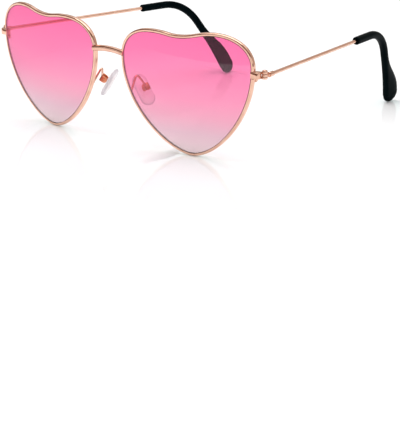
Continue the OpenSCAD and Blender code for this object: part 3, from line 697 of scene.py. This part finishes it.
def sweep_tree():
    """Sweeps a section along a flat path that is first bent onto a sphere."""
    nodes, given = new_tree("Section swept on a sphere", {
        "Path": "Object", "Section": "Object", "Ring Spacing": "Float", "Sphere Radius": "Float",
        "Corner Radius": "Float", "Corner Steps": "Int", "Lip Depth": "Float", "Finish": "Material"})
    even = nodes.geometry("ResampleCurve", {
        "Curve": nodes.from_object(given["Path"]), "Length": given["Ring Spacing"]}, mode="LENGTH")
    place, radius = nodes.geometry("InputPosition"), given["Sphere Radius"]
    squared = nodes.shader("VectorMath", {0: place, 1: place}, operation="DOT_PRODUCT").outputs["Value"]
    rest = nodes.maths("SQRT", nodes.maths("SUBTRACT", nodes.product(radius, radius), squared))
    fall = nodes.vector(Z=nodes.maths("SUBTRACT", rest, radius))
    bent = nodes.geometry("SetPosition", {"Geometry": even, "Offset": fall})
    upright = nodes.geometry("SetCurveNormal", {"Curve": bent}, mode="Z_UP")
    rounded = nodes.geometry("FilletCurve", {
        "Curve": nodes.from_object(given["Section"]), "Count": given["Corner Steps"],
        "Radius": given["Corner Radius"], "Limit Radius": True}, mode="POLY")
    # Marks the section's lens side, which the rim plating darkens as painted shade and painted dark
    # reflection
    lip = nodes.maths("LESS_THAN", nodes.parts(nodes.geometry("InputPosition"))["X"], given["Lip Depth"])
    marked = nodes.geometry("StoreNamedAttribute", {"Geometry": rounded, "Name": "lip", "Value": lip},
                            data_type="FLOAT", domain="POINT")
    wire = nodes.geometry("CurveToMesh", {"Curve": upright, "Profile Curve": marked, "Fill Caps": True})
    nodes.finish(wire, given["Finish"])
    return nodes.tree


def rod_tree():
    """Draws round wire along a path."""
    nodes, given = new_tree("Round wire", {
        "Path": "Object", "Radius": "Float", "Sides": "Int", "Finish": "Material"})
    ring = nodes.geometry("CurvePrimitiveCircle", {"Resolution": given["Sides"], "Radius": given["Radius"]})
    wire = nodes.geometry("CurveToMesh", {
        "Curve": nodes.from_object(given["Path"]), "Profile Curve": ring, "Fill Caps": True})
    nodes.finish(wire, given["Finish"])
    return nodes.tree


def screw_tree():
    """Cuts the slot in a turned screw and sets one, at a random turn, on each point along its axis."""
    nodes, given = new_tree("Slotted screws", {
        "Blank": "Object", "Head Height": "Float", "Slot Length": "Float", "Slot Width": "Float",
        "Slot Depth": "Float", "Seed": "Int", "Finish": "Material"})
    depth = nodes.product(given["Slot Depth"], 2.0)
    size = nodes.vector(X=given["Slot Length"], Y=given["Slot Width"], Z=depth)
    cutter = nodes.geometry("MeshCube", {"Size": size})
    placed = nodes.geometry("Transform", {
        "Geometry": cutter, "Translation": nodes.vector(Z=given["Head Height"])})
    slotted = nodes.geometry("MeshBoolean", {"Mesh 1": nodes.from_object(given["Blank"]), "Mesh 2": placed},
                             operation="DIFFERENCE", solver="EXACT")
    axis = nodes.geometry("InputNamedAttribute", {"Name": "axis"}, data_type="FLOAT_VECTOR")
    along = nodes.function("AlignRotationToVector", {"Vector": axis}, axis="Z")
    chance = nodes.function("RandomValue", {2: 0.0, 3: math.pi, "Seed": given["Seed"]}, data_type="FLOAT")
    spin = nodes.function("AxisAngleToRotation", {"Axis": (0, 0, 1), "Angle": chance.outputs[1]})
    turn = nodes.function("RotateRotation", {0: along, 1: spin}, rotation_space="LOCAL")
    copies = nodes.geometry("InstanceOnPoints", {
        "Points": given["Geometry"], "Instance": slotted, "Rotation": turn})
    nodes.finish(copies, given["Finish"])
    return nodes.tree


# Finishes

# How far the noise of the patches is stretched: what its 0 and its 1 become
METAL_PATCHES = (-0.4, 1.4)
SLEEVE_PATCHES = (-0.6, 1.1)
LENS_CLOUD = (-0.02, 0.02)
# Shares of the rim's height at which the lens has each of its tints, from the bottom up
TINT_STOPS = (0.06, 0.19, 0.33, 0.47, 0.66, 0.94)
# How much of the lip's painted shade and painted dark reflection covers the plating
LIP_STRENGTH = 0.85


def new_material(name):
    """An empty material, its nodes and the place in the object's own space, in metres."""
    made = bpy.data.materials.new(name)
    made.use_nodes = True
    made.node_tree.nodes.clear()
    nodes = Nodes(made.node_tree)
    return made, nodes, nodes.shader("TexCoord").outputs["Object"]


def plated_metal(name):
    """Rose gold or copper plating with faint patches, fine polishing marks and a slightly uneven gloss.
    The rims' lip beside the lens is darkened with painted shade and a painted dark reflection."""
    s = settings("finish")
    pale, deep, rough = s.rose, s.rose_deep, s.rose_rough
    if name == "copper_plating":
        pale, deep, rough = s.copper, s.copper_deep, s.copper_rough
    made, nodes, place = new_material(name)
    patches = nodes.noise(place, waves=260, detail=2)
    marks = nodes.noise(place, waves=5200, detail=4, squash=(1, 1, 0.25))
    tint = nodes.mixed(nodes.between(patches, *METAL_PATCHES), deep, pale)
    if name == "rim_plating":
        # Painted shade and painted dark reflection on the rim's lens side
        tint = nodes.mixed(nodes.product(nodes.mark("lip"), LIP_STRENGTH), tint, s.lip)
    bump = nodes.shader("Bump", {"Height": marks, "Strength": 0.05, "Distance": 0.00004})
    nodes.surface(nodes.shader("BsdfPrincipled", {
        "Base Color": tint, "Metallic": 1.0, "Roughness": nodes.between(marks, *rough), "Normal": bump}))
    return made


def tinted_glass(name):
    """Clear pink resin that fades to pale grey pink at the bottom and lets the lamps through."""
    s = settings("lenses")
    made, nodes, place = new_material(name)
    height = nodes.maths("DIVIDE", nodes.parts(place)["Z"], settings("rims").height)
    cloud = nodes.between(nodes.noise(place, waves=60, detail=1), *LENS_CLOUD)
    ramp = nodes.shader("ValToRGB", {"Fac": nodes.maths("ADD", height, cloud)})
    stops = ramp.color_ramp.elements
    for at in TINT_STOPS[1:-1]:
        stops.new(at)
    for stop, at, tint in zip(stops, TINT_STOPS, (s.bottom, s.low, s.lower, s.middle, s.upper, s.top)):
        stop.position, stop.color = at, tint
    glass = nodes.shader("BsdfPrincipled", {
        "Base Color": ramp, "Roughness": s.gloss, "IOR": s.index, "Transmission Weight": 1.0})
    nodes.surface(nodes.clear_shadow(glass, nodes.shader("Gamma", {"Color": ramp, "Gamma": s.shadow / 2})))
    return made


def black_sleeve(name):
    """Satin black plastic with a faint grain and rubbed patches."""
    s = settings("finish")
    made, nodes, place = new_material(name)
    patches = nodes.noise(place, waves=140)
    grain = nodes.noise(place, waves=4200)
    tint = nodes.mixed(nodes.between(patches, *SLEEVE_PATCHES), s.black, s.black_worn)
    bump = nodes.shader("Bump", {"Height": grain, "Strength": 0.12, "Distance": 0.00003})
    nodes.surface(nodes.shader("BsdfPrincipled", {
        "Base Color": tint, "Roughness": nodes.between(grain, *s.black_rough), "IOR": 1.06, "Normal": bump}))
    return made


def clear_silicone(name):
    """Cloudy, slightly frosted silicone that shows the metal inside it."""
    s = settings("finish")
    made, nodes, place = new_material(name)
    cloud = nodes.noise(place, waves=420, detail=2)
    frost = nodes.noise(place, waves=3600)
    # The pad darkens towards its edge as painted shade
    tint = nodes.mixed(nodes.mark("rim"), nodes.mixed(cloud, s.silicone, s.silicone_deep), s.silicone_edge)
    bump = nodes.shader("Bump", {"Height": frost, "Strength": 0.02, "Distance": 0.00003})
    soft = nodes.shader("BsdfPrincipled", {
        "Base Color": tint, "Roughness": nodes.between(frost, *s.silicone_rough), "IOR": 1.12,
        "Transmission Weight": 0.97, "Normal": bump})
    nodes.surface(nodes.clear_shadow(soft, tint))
    return made


# Each finish with the record's slot that it stands for, and what makes it
FINISHES = {
    "rose_gold_plating": ("rose_gold_metal", plated_metal),
    "rim_plating": ("rose_gold_metal", plated_metal),
    "copper_plating": ("copper_metal", plated_metal),
    "pink_lens_tint": ("pink_lens", tinted_glass),
    "black_sleeve_plastic": ("black_plastic", black_sleeve),
    "nose_pad_silicone": ("clear_silicone", clear_silicone),
}


def finish_of(name):
    """A finish by its name, made when it is first asked for."""
    return bpy.data.materials.get(name) or FINISHES[name][1](name)


# Operators

class SUNGLASSES_OT_rims(bpy.types.Operator):
    """Sweep the grooved wire round both hearts"""
    bl_idname = "sunglasses.rims"
    bl_label = "Rims"

    def execute(self, context):
        s, heart = settings("rims"), Heart()
        start, stop = heart.split_places()
        outer = heart.stretch(OUTER_STRETCH)
        first, last = cut_after(outer, start % 1), cut_before(outer, stop % 1)
        knots = [[heart.handle(i, False), heart.anchor(i), heart.handle(i, True)]
                 for i in range(HEART_POINTS)]
        knots[0][0], knots[OUTER_STRETCH][2] = first[2], last[1]
        knots = [(first[0], first[0], first[1]), *knots, (last[2], last[3], last[3])]
        path = curve_object("heart_path", [[(*p, 0) for p in knot] for knot in knots], "BEZIER")
        half_t, half_d, half_g = s.thickness / 2, s.depth / 2, s.groove_width / 2
        floor = s.groove_depth - half_t
        groove = [(-half_t, half_g), (floor, half_g), (floor, -half_g), (-half_t, -half_g)]
        corners = [(x * half_t, y * half_d) for x, y in RIM_CORNER_SHARES]
        section = curve_object("rim_section", [(x, y, 0) for x, y in groove + corners], cyclic=True)
        mesh = grown(sweep_tree(), {
            "Path": path, "Section": section, "Ring Spacing": s.spacing, "Sphere Radius": s.base_radius,
            "Corner Radius": s.corner, "Corner Steps": s.corner_steps, "Lip Depth": -s.lip_share * half_t},
            "rim_plating")
        mesh.transform(heart.frame @ Matrix.Rotation(math.pi / 2, 4, "X"))
        add_pair("rim_wire", mesh, "rim", "rim_plating")
        return {"FINISHED"}


class SUNGLASSES_OT_lenses(bpy.types.Operator):
    """Build both lenses with the edge that stands in the rim's groove"""
    bl_idname = "sunglasses.lenses"
    bl_label = "Lenses"

    def execute(self, context):
        s, r, heart = settings("lenses"), settings("rims"), Heart()
        inset = r.thickness / 2 + s.gap
        body, tongue = heart.outline(-inset), heart.outline(r.groove_depth - inset)

        def surface(points, offset):
            return [Vector((p.x, heart.sag(p, offset), p.y)) for p in points]

        shares = [(i / s.rings) ** s.ring_power for i in range(1, s.rings + 1)]
        rings = []
        for way in (1, -1):
            offset, thin = way * s.thickness / 2, way * s.edge / 2
            rows = [surface([Vector((0, 0))], offset)]
            rows += [surface([p * size for p in body], offset) for size in shares]
            rows += [surface(body, thin), surface(tongue, thin)]
            rings += rows[::way]
        add_pair("lens_pane", lofted(rings, heart.frame), "lens", "pink_lens_tint", sharp=20)
        return {"FINISHED"}


class SUNGLASSES_OT_bridge(bpy.types.Operator):
    """Sweep the arched bar between the two rims"""
    bl_idname = "sunglasses.bridge"
    bl_label = "Bridge"

    def execute(self, context):
        s = settings("front")
        low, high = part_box("bridge")
        radius = (s.bridge_length ** 2 / 4 + s.bridge_rise ** 2) / (2 * s.bridge_rise)
        half = math.asin(s.bridge_length / 2 / radius)
        centre = Vector((0, (low.y + high.y) / 2, high.z - s.bridge_height / 2 - radius))
        section = stadium(s.bridge_height, s.bridge_depth, steps=16)
        rings, steps = [], 40
        for i in range(steps + 1):
            t = half * (2 * i / steps - 1)
            out = Vector((math.sin(t), 0, math.cos(t)))
            rings.append([centre + out * (radius + x) - Vector((0, y, 0)) for x, y in section])
        add_piece("bridge_bar", lofted(rings), "bridge")
        return {"FINISHED"}


class SUNGLASSES_OT_end_pieces(bpy.types.Operator):
    """Build the straps that carry the hinge barrels, and the two halves of each rim lock"""
    bl_idname = "sunglasses.end_pieces"
    bl_label = "End pieces and rim locks"

    def execute(self, context):
        s, r = settings("front"), settings("rims")
        at_hinge, at_rim = hinge_frame(), Heart().hinge_side_frame()
        front = -(s.hinge_back + r.depth / 2 + s.strap_lap)
        inner, leg = -s.hinge_out - r.thickness / 2, -s.leg_outside - s.strap
        room = -(s.barrel + s.barrel_room)
        half = s.strap_height / 2
        outline = [(inner, front), *arc((leg, front + s.strap), s.strap, -90, 0, steps=10),
                   (-s.leg_outside, room), (leg, room), (leg, -s.web_back), (-s.hinge_out, -s.web_back),
                   (-s.hinge_out, front + s.strap), (inner, front + s.strap)]
        bm = bmesh.new()
        prism(bm, outline, -half, half, s.edge, at_hinge)
        inside = s.barrel_mid / 2 + s.barrel_gap
        for sign in (-1, 1):
            low, high = sorted((sign * inside, sign * (inside + s.barrel_end)))
            tube(bm, s.barrel, s.bore, low, high, s.edge, at_hinge)
            low, high = sorted((sign * inside, sign * half))
            slab(bm, (leg, room - s.strap / 2, low), (-s.leg_outside, -s.leg_back, high), s.edge, at_hinge)
        self.lock(bm, -half, s.lock_upper, s.lock_web, at_rim)
        add_pair("end_piece_block", finished(bm), "end_piece")
        bm = bmesh.new()
        self.lock(bm, -half - r.split - s.lock_lower, s.lock_lower, s.lock_radius, at_rim)
        add_pair("rim_lock_half", finished(bm), "rim_lock")
        return {"FINISHED"}

    def lock(self, bm, low, height, web, matrix):
        """One half of the rim lock, from the height low up."""
        s = settings("front")
        high, seat = low + height, settings("rims").depth / 2 - s.strap_lap
        axis = matrix @ Matrix.Translation((0, s.lock_back, 0))
        tube(bm, s.lock_radius, s.lock_bore, low, high, s.edge, axis)
        wall = s.lock_back - s.lock_bore
        slab(bm, (-s.lock_radius, seat, low), (s.lock_radius, wall, high), s.edge / 2, matrix)
        slab(bm, (s.lock_bore, seat, low), (web, s.lock_back + s.lock_radius, high), s.edge, matrix)


class SUNGLASSES_OT_screws(bpy.types.Operator):
    """Set the slotted screws of the hinges, the rim locks and the nose pads"""
    bl_idname = "sunglasses.screws"
    bl_label = "Screws"

    def execute(self, context):
        s, f, box = settings("screws"), settings("front"), settings("pads").box_width
        stack = f.barrel_mid / 2 + f.barrel_gap + f.barrel_end
        lock_low = -f.strap_height / 2 - settings("rims").split - f.lock_lower
        # Piece, node, finish, frame, place under the head, way that the head points, sizes and shank length
        kinds = (
            ("hinge_screw_set", "hinge_screws", "rose_gold_plating", hinge_frame(),
             (0, 0, stack + s.seat), (0, 0, 1), s.hinge, 2 * stack),
            ("lock_screw_set", "rim_lock_screws", "rose_gold_plating", Heart().hinge_side_frame(),
             (0, f.lock_back, lock_low - s.seat), (0, 0, -1), s.lock, s.lock_length),
            ("pad_screw_set", "nose_pad_screws", "copper_plating", pad_frame(),
             (0, -box / 2 - s.seat, 0), (0, -1, 0), s.pad, box),
        )
        tree = screw_tree()
        for seed, (name, node, finish, matrix, at, axis, sizes, deep) in enumerate(kinds, s.seed):
            head, high, shank = sizes
            dome = [(head * math.cos(t), high * (1 - s.dome + s.dome * math.sin(t)))
                    for t in (math.radians(a) for a in range(0, 90, 12))]
            bm = bmesh.new()
            turned(bm, [(0, -deep), (shank, -deep), (shank, 0), (head, 0), *dome, (0, high)])
            twins = (matrix, MIRROR @ matrix)
            points = bpy.data.meshes.new("screw_points")
            points.from_pydata([twin @ Vector(at) for twin in twins], [], [])
            axes = points.attributes.new("axis", "FLOAT_VECTOR", "POINT")
            axes.data.foreach_set("vector", [v for twin in twins for v in twin.to_3x3() @ Vector(axis)])
            mesh = grown(tree, {
                "Blank": put("screw_blank", finished(bm)), "Head Height": high, "Slot Length": 3 * head,
                "Slot Width": s.slot_width, "Slot Depth": s.slot_depth, "Seed": seed}, finish, points)
            add_piece(name, mesh, node, finish)
        return {"FINISHED"}


class SUNGLASSES_OT_nose_pads(bpy.types.Operator):
    """Bend the pad arms and build the boxes and the silicone pads"""
    bl_idname = "sunglasses.nose_pads"
    bl_label = "Nose pads"

    def execute(self, context):
        s, heart, at_pad, edge = settings("pads"), Heart(), pad_frame(), settings("front").edge
        behind = settings("rims").depth / 2 - s.arm_radius
        foot = heart.frame @ heart.on_sphere(NOSE_STRETCH + s.arm_share, 0, behind)
        arch = joint_place("left_pad_rock") + Vector(s.arch)
        inner_back = s.box_back - s.box_wall
        path = curve_object("arm_path", bent_path(
            foot, arch, at_pad @ Vector((inner_back, 0, 0)), s.arch_radius, step=8))
        mesh = grown(rod_tree(), {"Path": path, "Radius": s.arm_radius, "Sides": 20})
        add_pair("pad_arm", mesh, "nose_pad_arm")

        bm = bmesh.new()
        lying, half = at_pad @ Matrix.Rotation(math.pi / 2, 4, "X"), s.box_width / 2
        corners = [(s.box_back, -s.box_radius), (s.box_back, s.box_radius)]
        cheek = arc((0, 0), s.box_radius, 90, 270, steps=20) + corners
        for low in (-half, half - s.cheek):
            prism(bm, cheek, low, low + s.cheek, edge, lying)
        slab(bm, (inner_back, -half, -s.box_radius), (s.box_back, half, s.box_radius), edge, at_pad)
        add_pair("pad_box", finished(bm), "nose_pad_box", "copper_plating")

        rings = self.pad_rings(s)
        mesh = lofted(rings, at_pad)
        # The finish darkens the pad towards its edge as painted shade, read from how near each point is to
        # the edge
        rim = mesh.attributes.new("rim", "FLOAT", "POINT")
        rim.data.foreach_set("value", [
            math.sin(math.pi * i / (len(rings) - 1)) ** 3 for i, ring in enumerate(rings) for _ in ring])
        add_pair("pad_cushion", mesh, "nose_pad", "nose_pad_silicone", "{side}_pad", sharp=60)
        for side in SIDES:
            core = frame["nodes"][f"nose_pad_core_{side}"].data.materials
            core.clear()
            core.append(finish_of("nose_pad_silicone"))
        return {"FINISHED"}

    def pad_rings(self, s):
        """Rings of the pad from its nose face to its back face, domed and with a round edge."""
        outline, steps = stadium(s.length, s.width, steps=24), 24
        rings = []
        for i in range(steps + 1):
            t = math.pi * i / steps
            reach = 0 if i in (0, steps) else math.sin(t) ** s.edge_power
            away = -s.stand - signed_power(math.cos(t), s.dome_power) * s.thickness / 2
            rings.append([Vector((away, y * reach, x * reach)) for x, y in (outline if reach else [(0, 0)])])
        return rings


class SUNGLASSES_OT_temple_hinges(bpy.types.Operator):
    """Build the middle barrels with their sockets for the temple wires"""
    bl_idname = "sunglasses.temple_hinges"
    bl_label = "Temple hinges"

    def execute(self, context):
        s, f, at_temple = settings("temples"), settings("front"), temple_frame()
        half, floor = f.barrel_mid / 2, s.socket_start + s.socket_floor
        bm = bmesh.new()
        tube(bm, f.barrel, f.bore, -half, half, f.edge, at_temple)
        slab(bm, (f.edge, f.bore, -half), (s.offset + s.socket / 2, floor, half), f.edge, at_temple)
        low, high, bore = s.socket_start, s.socket_start + s.socket_length, s.wire + s.socket_play
        turned(bm, [(0, low), (s.socket - f.edge, low), (s.socket, low + f.edge), (s.socket, high - f.edge),
                    (s.socket - f.edge, high), (bore, high), (bore, floor), (0, floor)],
               at_temple @ Matrix.Translation((s.offset, 0, 0)) @ Matrix.Rotation(-math.pi / 2, 4, "X"))
        add_pair("hinge_leaf", finished(bm), "temple_hinge", body="{side}_temple")
        return {"FINISHED"}


# Places in the rounding of the sleeve's mouth, as shares of its length, and how much wider the bore is there
MOUTH_FLARE = ((1, 1), (4 / 15, 1.08), (0, 1.2))


class SUNGLASSES_OT_temples(bpy.types.Operator):
    """Draw the temple wires and form the black tips on them"""
    bl_idname = "sunglasses.temples"
    bl_label = "Temple wires and tips"

    def execute(self, context):
        s, at_temple = settings("temples"), temple_frame()
        back, down = Vector((0, 1, 0)), Vector((-math.sin(s.lean), 0, -math.cos(s.lean)))
        drop = back * math.cos(s.drop) + down * math.sin(s.drop)
        start = Vector((s.offset, s.socket_start + s.socket_floor, 0))
        corner = Vector((s.offset, s.length, 0))
        flare_start = corner + drop * s.drop_length
        wire_end = flare_start + drop * (s.flare - s.wire_short)
        path = curve_object("temple_path", bent_path(start, corner, wire_end, s.bend, step=5))
        mesh = grown(rod_tree(), {"Path": path, "Radius": s.wire, "Sides": 28})
        mesh.transform(at_temple)
        add_pair("temple_rod", mesh, "temple_wire", body="{side}_temple")
        mesh = lofted(self.tip_rings(s, back, down, corner, flare_start), at_temple)
        add_pair("tip_sleeve", mesh, "temple_tip", "black_sleeve_plastic", "{side}_temple", sharp=50)
        return {"FINISHED"}

    def tip_rings(self, s, back, down, corner, flare_start):
        """Sections of the sleeve from inside its open mouth to the rounded end of the paddle."""
        sides, mouth_steps, straight_steps, bend_steps, flare_steps, end_steps = 40, 4, 8, 20, 40, 14
        across, start = back.cross(down), Vector((s.offset, s.sleeve_start, 0))
        run = s.bend * math.tan(s.drop / 2)

        def outer_at(slope):
            """The way to the outside of the bend, where the tip has turned down by an angle."""
            return back * math.sin(slope) - down * math.cos(slope)

        def ring(middle, outer, flat, rear, front, thick, power=s.square):
            """A section with its reach from the middle outwards, inwards and to both flat sides."""
            made = []
            for t in (math.tau * i / sides for i in range(sides)):
                c, n = signed_power(math.cos(t), power), signed_power(math.sin(t), power)
                made.append(middle + outer * c * (rear if c > 0 else front) + flat * n * thick)
            return made

        def straight(along, radius, power=s.square):
            """A section of the straight part at a distance from the sleeve's mouth."""
            return ring(start + back * along, outer_at(0), across, radius, radius, radius, power)

        def swell(e):
            """Share of the paddle's full width at a distance from its end."""
            x = min(1, max(0, (s.flare - e) / (s.flare - s.paddle_length)))
            return x * x * (3 - 2 * x)

        def paddle(e):
            """Middle, outer and flat ways, and reach outwards and sideways, at a distance from the end."""
            outer, wide = outer_at(s.drop + s.curve * (s.flare - e) / s.flare), swell(e)
            turn = s.paddle_turn * wide
            return (flare_start + (outer - outer_at(s.drop)) * s.flare / s.curve,
                    outer * math.cos(turn) - across * math.sin(turn),
                    across * math.cos(turn) + outer * math.sin(turn),
                    s.tip + (s.paddle_width - 2 * s.tip) * wide, s.tip + (s.paddle / 2 - s.tip) * wide)

        # The bore, from its floor out to its flared mouth, then the rounded rim of the mouth
        rings = [[start + back * s.mouth], straight(s.mouth, s.mouth_bore, 1)]
        for part, wider in MOUTH_FLARE:
            rings.append(straight(s.mouth_round * part, s.mouth_bore * wider, 1))
        for t in (math.pi / 2 * i / mouth_steps for i in range(mouth_steps + 1)):
            worn = s.mouth_edge * (1 - math.sin(t))
            rings.append(straight(s.mouth_round * (1 - math.cos(t)), s.tip * (1 - worn)))
        for i in range(1, straight_steps):
            rings.append(straight((s.length - run - s.sleeve_start) * i / straight_steps, s.tip))
        for outer in (outer_at(s.drop * i / bend_steps) for i in range(bend_steps + 1)):
            middle = corner - back * run + (down + outer) * s.bend
            rings.append(ring(middle, outer, across, s.tip, s.tip, s.tip))
        for i in range(flare_steps):
            middle, outer, flat, rear, thick = paddle(s.flare + (s.paddle_round - s.flare) * i / flare_steps)
            rings.append(ring(middle, outer, flat, rear, s.tip, thick))
        for t in (math.pi / 2 * i / end_steps for i in range(end_steps + 1)):
            middle, outer, flat, rear, thick = paddle(s.paddle_round * (1 - math.sin(t)))
            middle, half, shrink = middle + outer * (rear - s.tip) / 2, (rear + s.tip) / 2, math.cos(t)
            rings.append(ring(middle, outer, flat, half * shrink, half * shrink, thick * math.sqrt(shrink)))
        rings[-1] = [middle]
        return rings


# Nodes that stand on the floor, how fast the mirror before each widens, and its share of the mirror's reach
FEET = (("rim", 0.6, 1), ("temple_tip", 0.3, 1 / 3))
RING_SIDES = 72
WHITE = (1, 1, 1, 1)


class SUNGLASSES_OT_stage(bpy.types.Operator):
    """Set up the floor, the soft light and the camera"""
    bl_idname = "sunglasses.stage"
    bl_label = "Stage"

    def execute(self, context):
        s = settings("studio")
        self.floor(s)
        self.world(s)
        self.lamp("key_lamp", s.key, s.key_place, target=(0, 0, 0), size=(0.7, 0.7))
        self.lamp("side_lamp", s.side, s.side_place, target=(0, 0, 0.02), size=(0.35, 0.5))
        self.flags(s)
        self.camera(s)
        context.scene.view_settings.view_transform = "Standard"
        return {"FINISHED"}

    def lamp(self, name, power, place, target, size):
        """A rectangular lamp that faces a point. Gloss sees only the one overhead."""
        light = bpy.data.lights.new(name, "AREA")
        light.shape, light.energy = "RECTANGLE", power
        light.size, light.size_y = size
        made = put(name, light)
        made.visible_glossy = name == "key_lamp"
        made.location = place
        made.rotation_euler = (Vector(place) - Vector(target)).to_track_quat("Z", "Y").to_euler()

    def flags(self, s):
        """A ring of dim flags and one on the floor in front, which only gloss sees: warm and dark in the
        metals where they are in front, paler behind, and grey in the lenses, which see none behind. One
        more on the floor beside the object starts softly and is seen in the lenses alone."""
        far = s.flag_radius
        turns = [math.tau * i / RING_SIDES for i in range(RING_SIDES + 1)]
        ways = [(math.cos(t), math.sin(t)) for t in turns]
        ring = [[(far * x, far * y, z + (s.flag_rise if y < 0 else 0)) for x, y in ways]
                for z in (s.flag_low, s.flag_high)]
        front = [[(way * far, -reach, 2 * s.layer) for way in (-1, 1)] for reach in (s.flag_front, far)]
        side = [[(-reach, -along, 3 * s.layer) for along in (s.flag_front, 0)]
                for reach in (s.flag_side, far)]
        for name, (low, high) in (("flag_ring", ring), ("flag_front", front), ("flag_side", side)):
            mesh = bpy.data.meshes.new(name)
            n = len(low)
            mesh.from_pydata(low + high, [], [(i, i + 1, n + i + 1, n + i) for i in range(n - 1)])
            mesh.materials.append(self.flag_finish(s, name))
            flag = put(name, mesh)
            for ray in ("camera", "diffuse", "shadow", "transmission"):
                setattr(flag, "visible_" + ray, False)

    def flag_finish(self, s, name):
        made, nodes, place = new_material(name)
        lens = nodes.rays()["Is Singular Ray"]
        x, y, _ = nodes.parts(place)
        behind = nodes.ramp(y, -s.flag_radius / 4, s.flag_radius / 2)
        if name == "flag_side":
            shown = nodes.product(lens, nodes.ramp(x, -s.flag_side, -s.flag_side - s.flag_soft_edge))
        else:
            shown = nodes.maths("SUBTRACT", 1.0, nodes.product(lens, behind))
        tint = nodes.mixed(lens, nodes.mixed(behind, s.flag_dark, s.flag_soft), s.flag_grey)
        dim = nodes.shader("Emission", {"Color": tint})
        nodes.surface(nodes.blended(shown, nodes.shader("BsdfTransparent"), dim))
        return made

    def floor(self, s):
        mesh, reach = bpy.data.meshes.new("floor"), s.floor_reach
        mesh.from_pydata([(-reach, -reach, 0), (reach, -reach, 0), (reach, reach, 0), (-reach, reach, 0)],
                         [], [(0, 1, 2, 3)])
        mesh.materials.append(self.floor_finish(s))
        floor = put("floor", mesh)
        floor.location.z = -s.layer

    def floor_finish(self, s):
        """A pale floor that mirrors the object faintly before its feet, and turns white in the distance."""
        made, nodes, place = new_material("studio_floor")
        x, y, _ = nodes.parts(place)
        gloss = 0.0
        for node, spread, part in FEET:
            for side in SIDES:
                foot = min((v.co for v in frame["nodes"][f"{node}_{side}"].data.vertices), key=lambda p: p.z)
                ahead = nodes.maths("SUBTRACT", foot.y, y)
                middle = nodes.maths("MULTIPLY_ADD", ahead, math.tan(s.azimuth), foot.x)
                aside = nodes.maths("ABSOLUTE", nodes.maths("SUBTRACT", x, middle))
                within = nodes.maths("MULTIPLY_ADD", ahead, -spread, aside)
                gloss = nodes.maths("MAXIMUM", gloss, nodes.product(
                    nodes.ramp(ahead, s.mirror_reach * part, 0.0),
                    nodes.ramp(within, s.mirror_side, s.mirror_side / 2),
                    nodes.maths("GREATER_THAN", ahead, -s.mirror_side / 4)))
        matt = nodes.shader("BsdfDiffuse", {"Color": s.floor})
        mirror = nodes.shader("BsdfAnisotropic", {"Color": s.mirror_tint, "Roughness": 0.0})
        near = nodes.blended(nodes.product(gloss, s.mirror), matt, mirror)
        away = nodes.shader("VectorMath", {0: place}, operation="LENGTH").outputs["Value"]
        rays = nodes.rays()
        seen = nodes.maths("MAXIMUM", rays["Is Camera Ray"], rays["Is Transmission Ray"])
        far = nodes.product(nodes.ramp(away, s.floor_lit, 3 * s.floor_lit), seen)
        nodes.surface(nodes.blended(far, near, nodes.shader("Emission", {"Color": WHITE})))
        return made

    def world(self, s):
        """White to the camera and in gloss and glass, and softer as a light."""
        world = bpy.data.worlds.new("studio")
        world.use_nodes = True
        world.node_tree.nodes.clear()
        nodes = Nodes(world.node_tree)
        rays = nodes.rays()
        gloss = nodes.maths("MAXIMUM", rays["Is Glossy Ray"], rays["Is Transmission Ray"])
        seen = nodes.maths("MAXIMUM", rays["Is Camera Ray"], gloss)
        strength = nodes.between(seen, s.ambient, 1.0)
        light = nodes.shader("Background", {"Color": WHITE, "Strength": strength})
        nodes.shader("OutputWorld", {"Surface": light})
        bpy.context.scene.world = world

    def camera(self, s):
        level = math.cos(s.elevation)
        back = Vector((math.sin(s.azimuth) * level, -math.cos(s.azimuth) * level, math.sin(s.elevation)))
        right = Vector((math.cos(s.azimuth), math.sin(s.azimuth), 0))
        up = back.cross(right)
        across = (s.aim_across - s.wide / 2) * s.distance / s.focal
        above = (s.aim_down - s.high / 2) * s.distance / s.focal
        data = bpy.data.cameras.new("camera")
        data.sensor_fit, data.sensor_width = "HORIZONTAL", 36
        data.lens = s.focal / s.wide * data.sensor_width
        data.clip_start, data.clip_end = 0.01, 30
        made = put("camera", data)
        place = Vector(s.aim) + back * s.distance - right * across + up * above
        made.matrix_world = basis(right, up, back, place)
        bpy.context.scene.camera = made


OPERATORS = (SUNGLASSES_OT_rims, SUNGLASSES_OT_lenses, SUNGLASSES_OT_bridge,
             SUNGLASSES_OT_end_pieces, SUNGLASSES_OT_screws, SUNGLASSES_OT_nose_pads,
             SUNGLASSES_OT_temple_hinges, SUNGLASSES_OT_temples, SUNGLASSES_OT_stage)


class SUNGLASSES_PT_panel(bpy.types.Panel):
    """The pieces of the sunglasses and the sizes and colours that they are made from"""
    bl_idname = "SUNGLASSES_PT_panel"
    bl_label = "Sunglasses"
    bl_space_type = "VIEW_3D"
    bl_region_type = "UI"
    bl_category = "Sunglasses"

    def draw(self, context):
        for operator in OPERATORS:
            self.layout.operator(operator.bl_idname)
        for name, properties in GROUPS.items():
            box = self.layout.box()
            box.label(text=name.capitalize())
            for key in properties.__annotations__:
                box.prop(settings(name), key)


CLASSES = (*GROUPS.values(), *OPERATORS, SUNGLASSES_PT_panel)


def register():
    for item in CLASSES:
        bpy.utils.register_class(item)
    for name, properties in GROUPS.items():
        setattr(bpy.types.Scene, "sunglasses_" + name, bpy.props.PointerProperty(type=properties))


def unregister():
    for name in GROUPS:
        delattr(bpy.types.Scene, "sunglasses_" + name)
    for item in reversed(CLASSES):
        bpy.utils.unregister_class(item)


def main():
    register()
    for operator in OPERATORS:
        getattr(bpy.ops.sunglasses, operator.bl_idname.split(".")[1])()


if __name__ == "__main__":
    main()
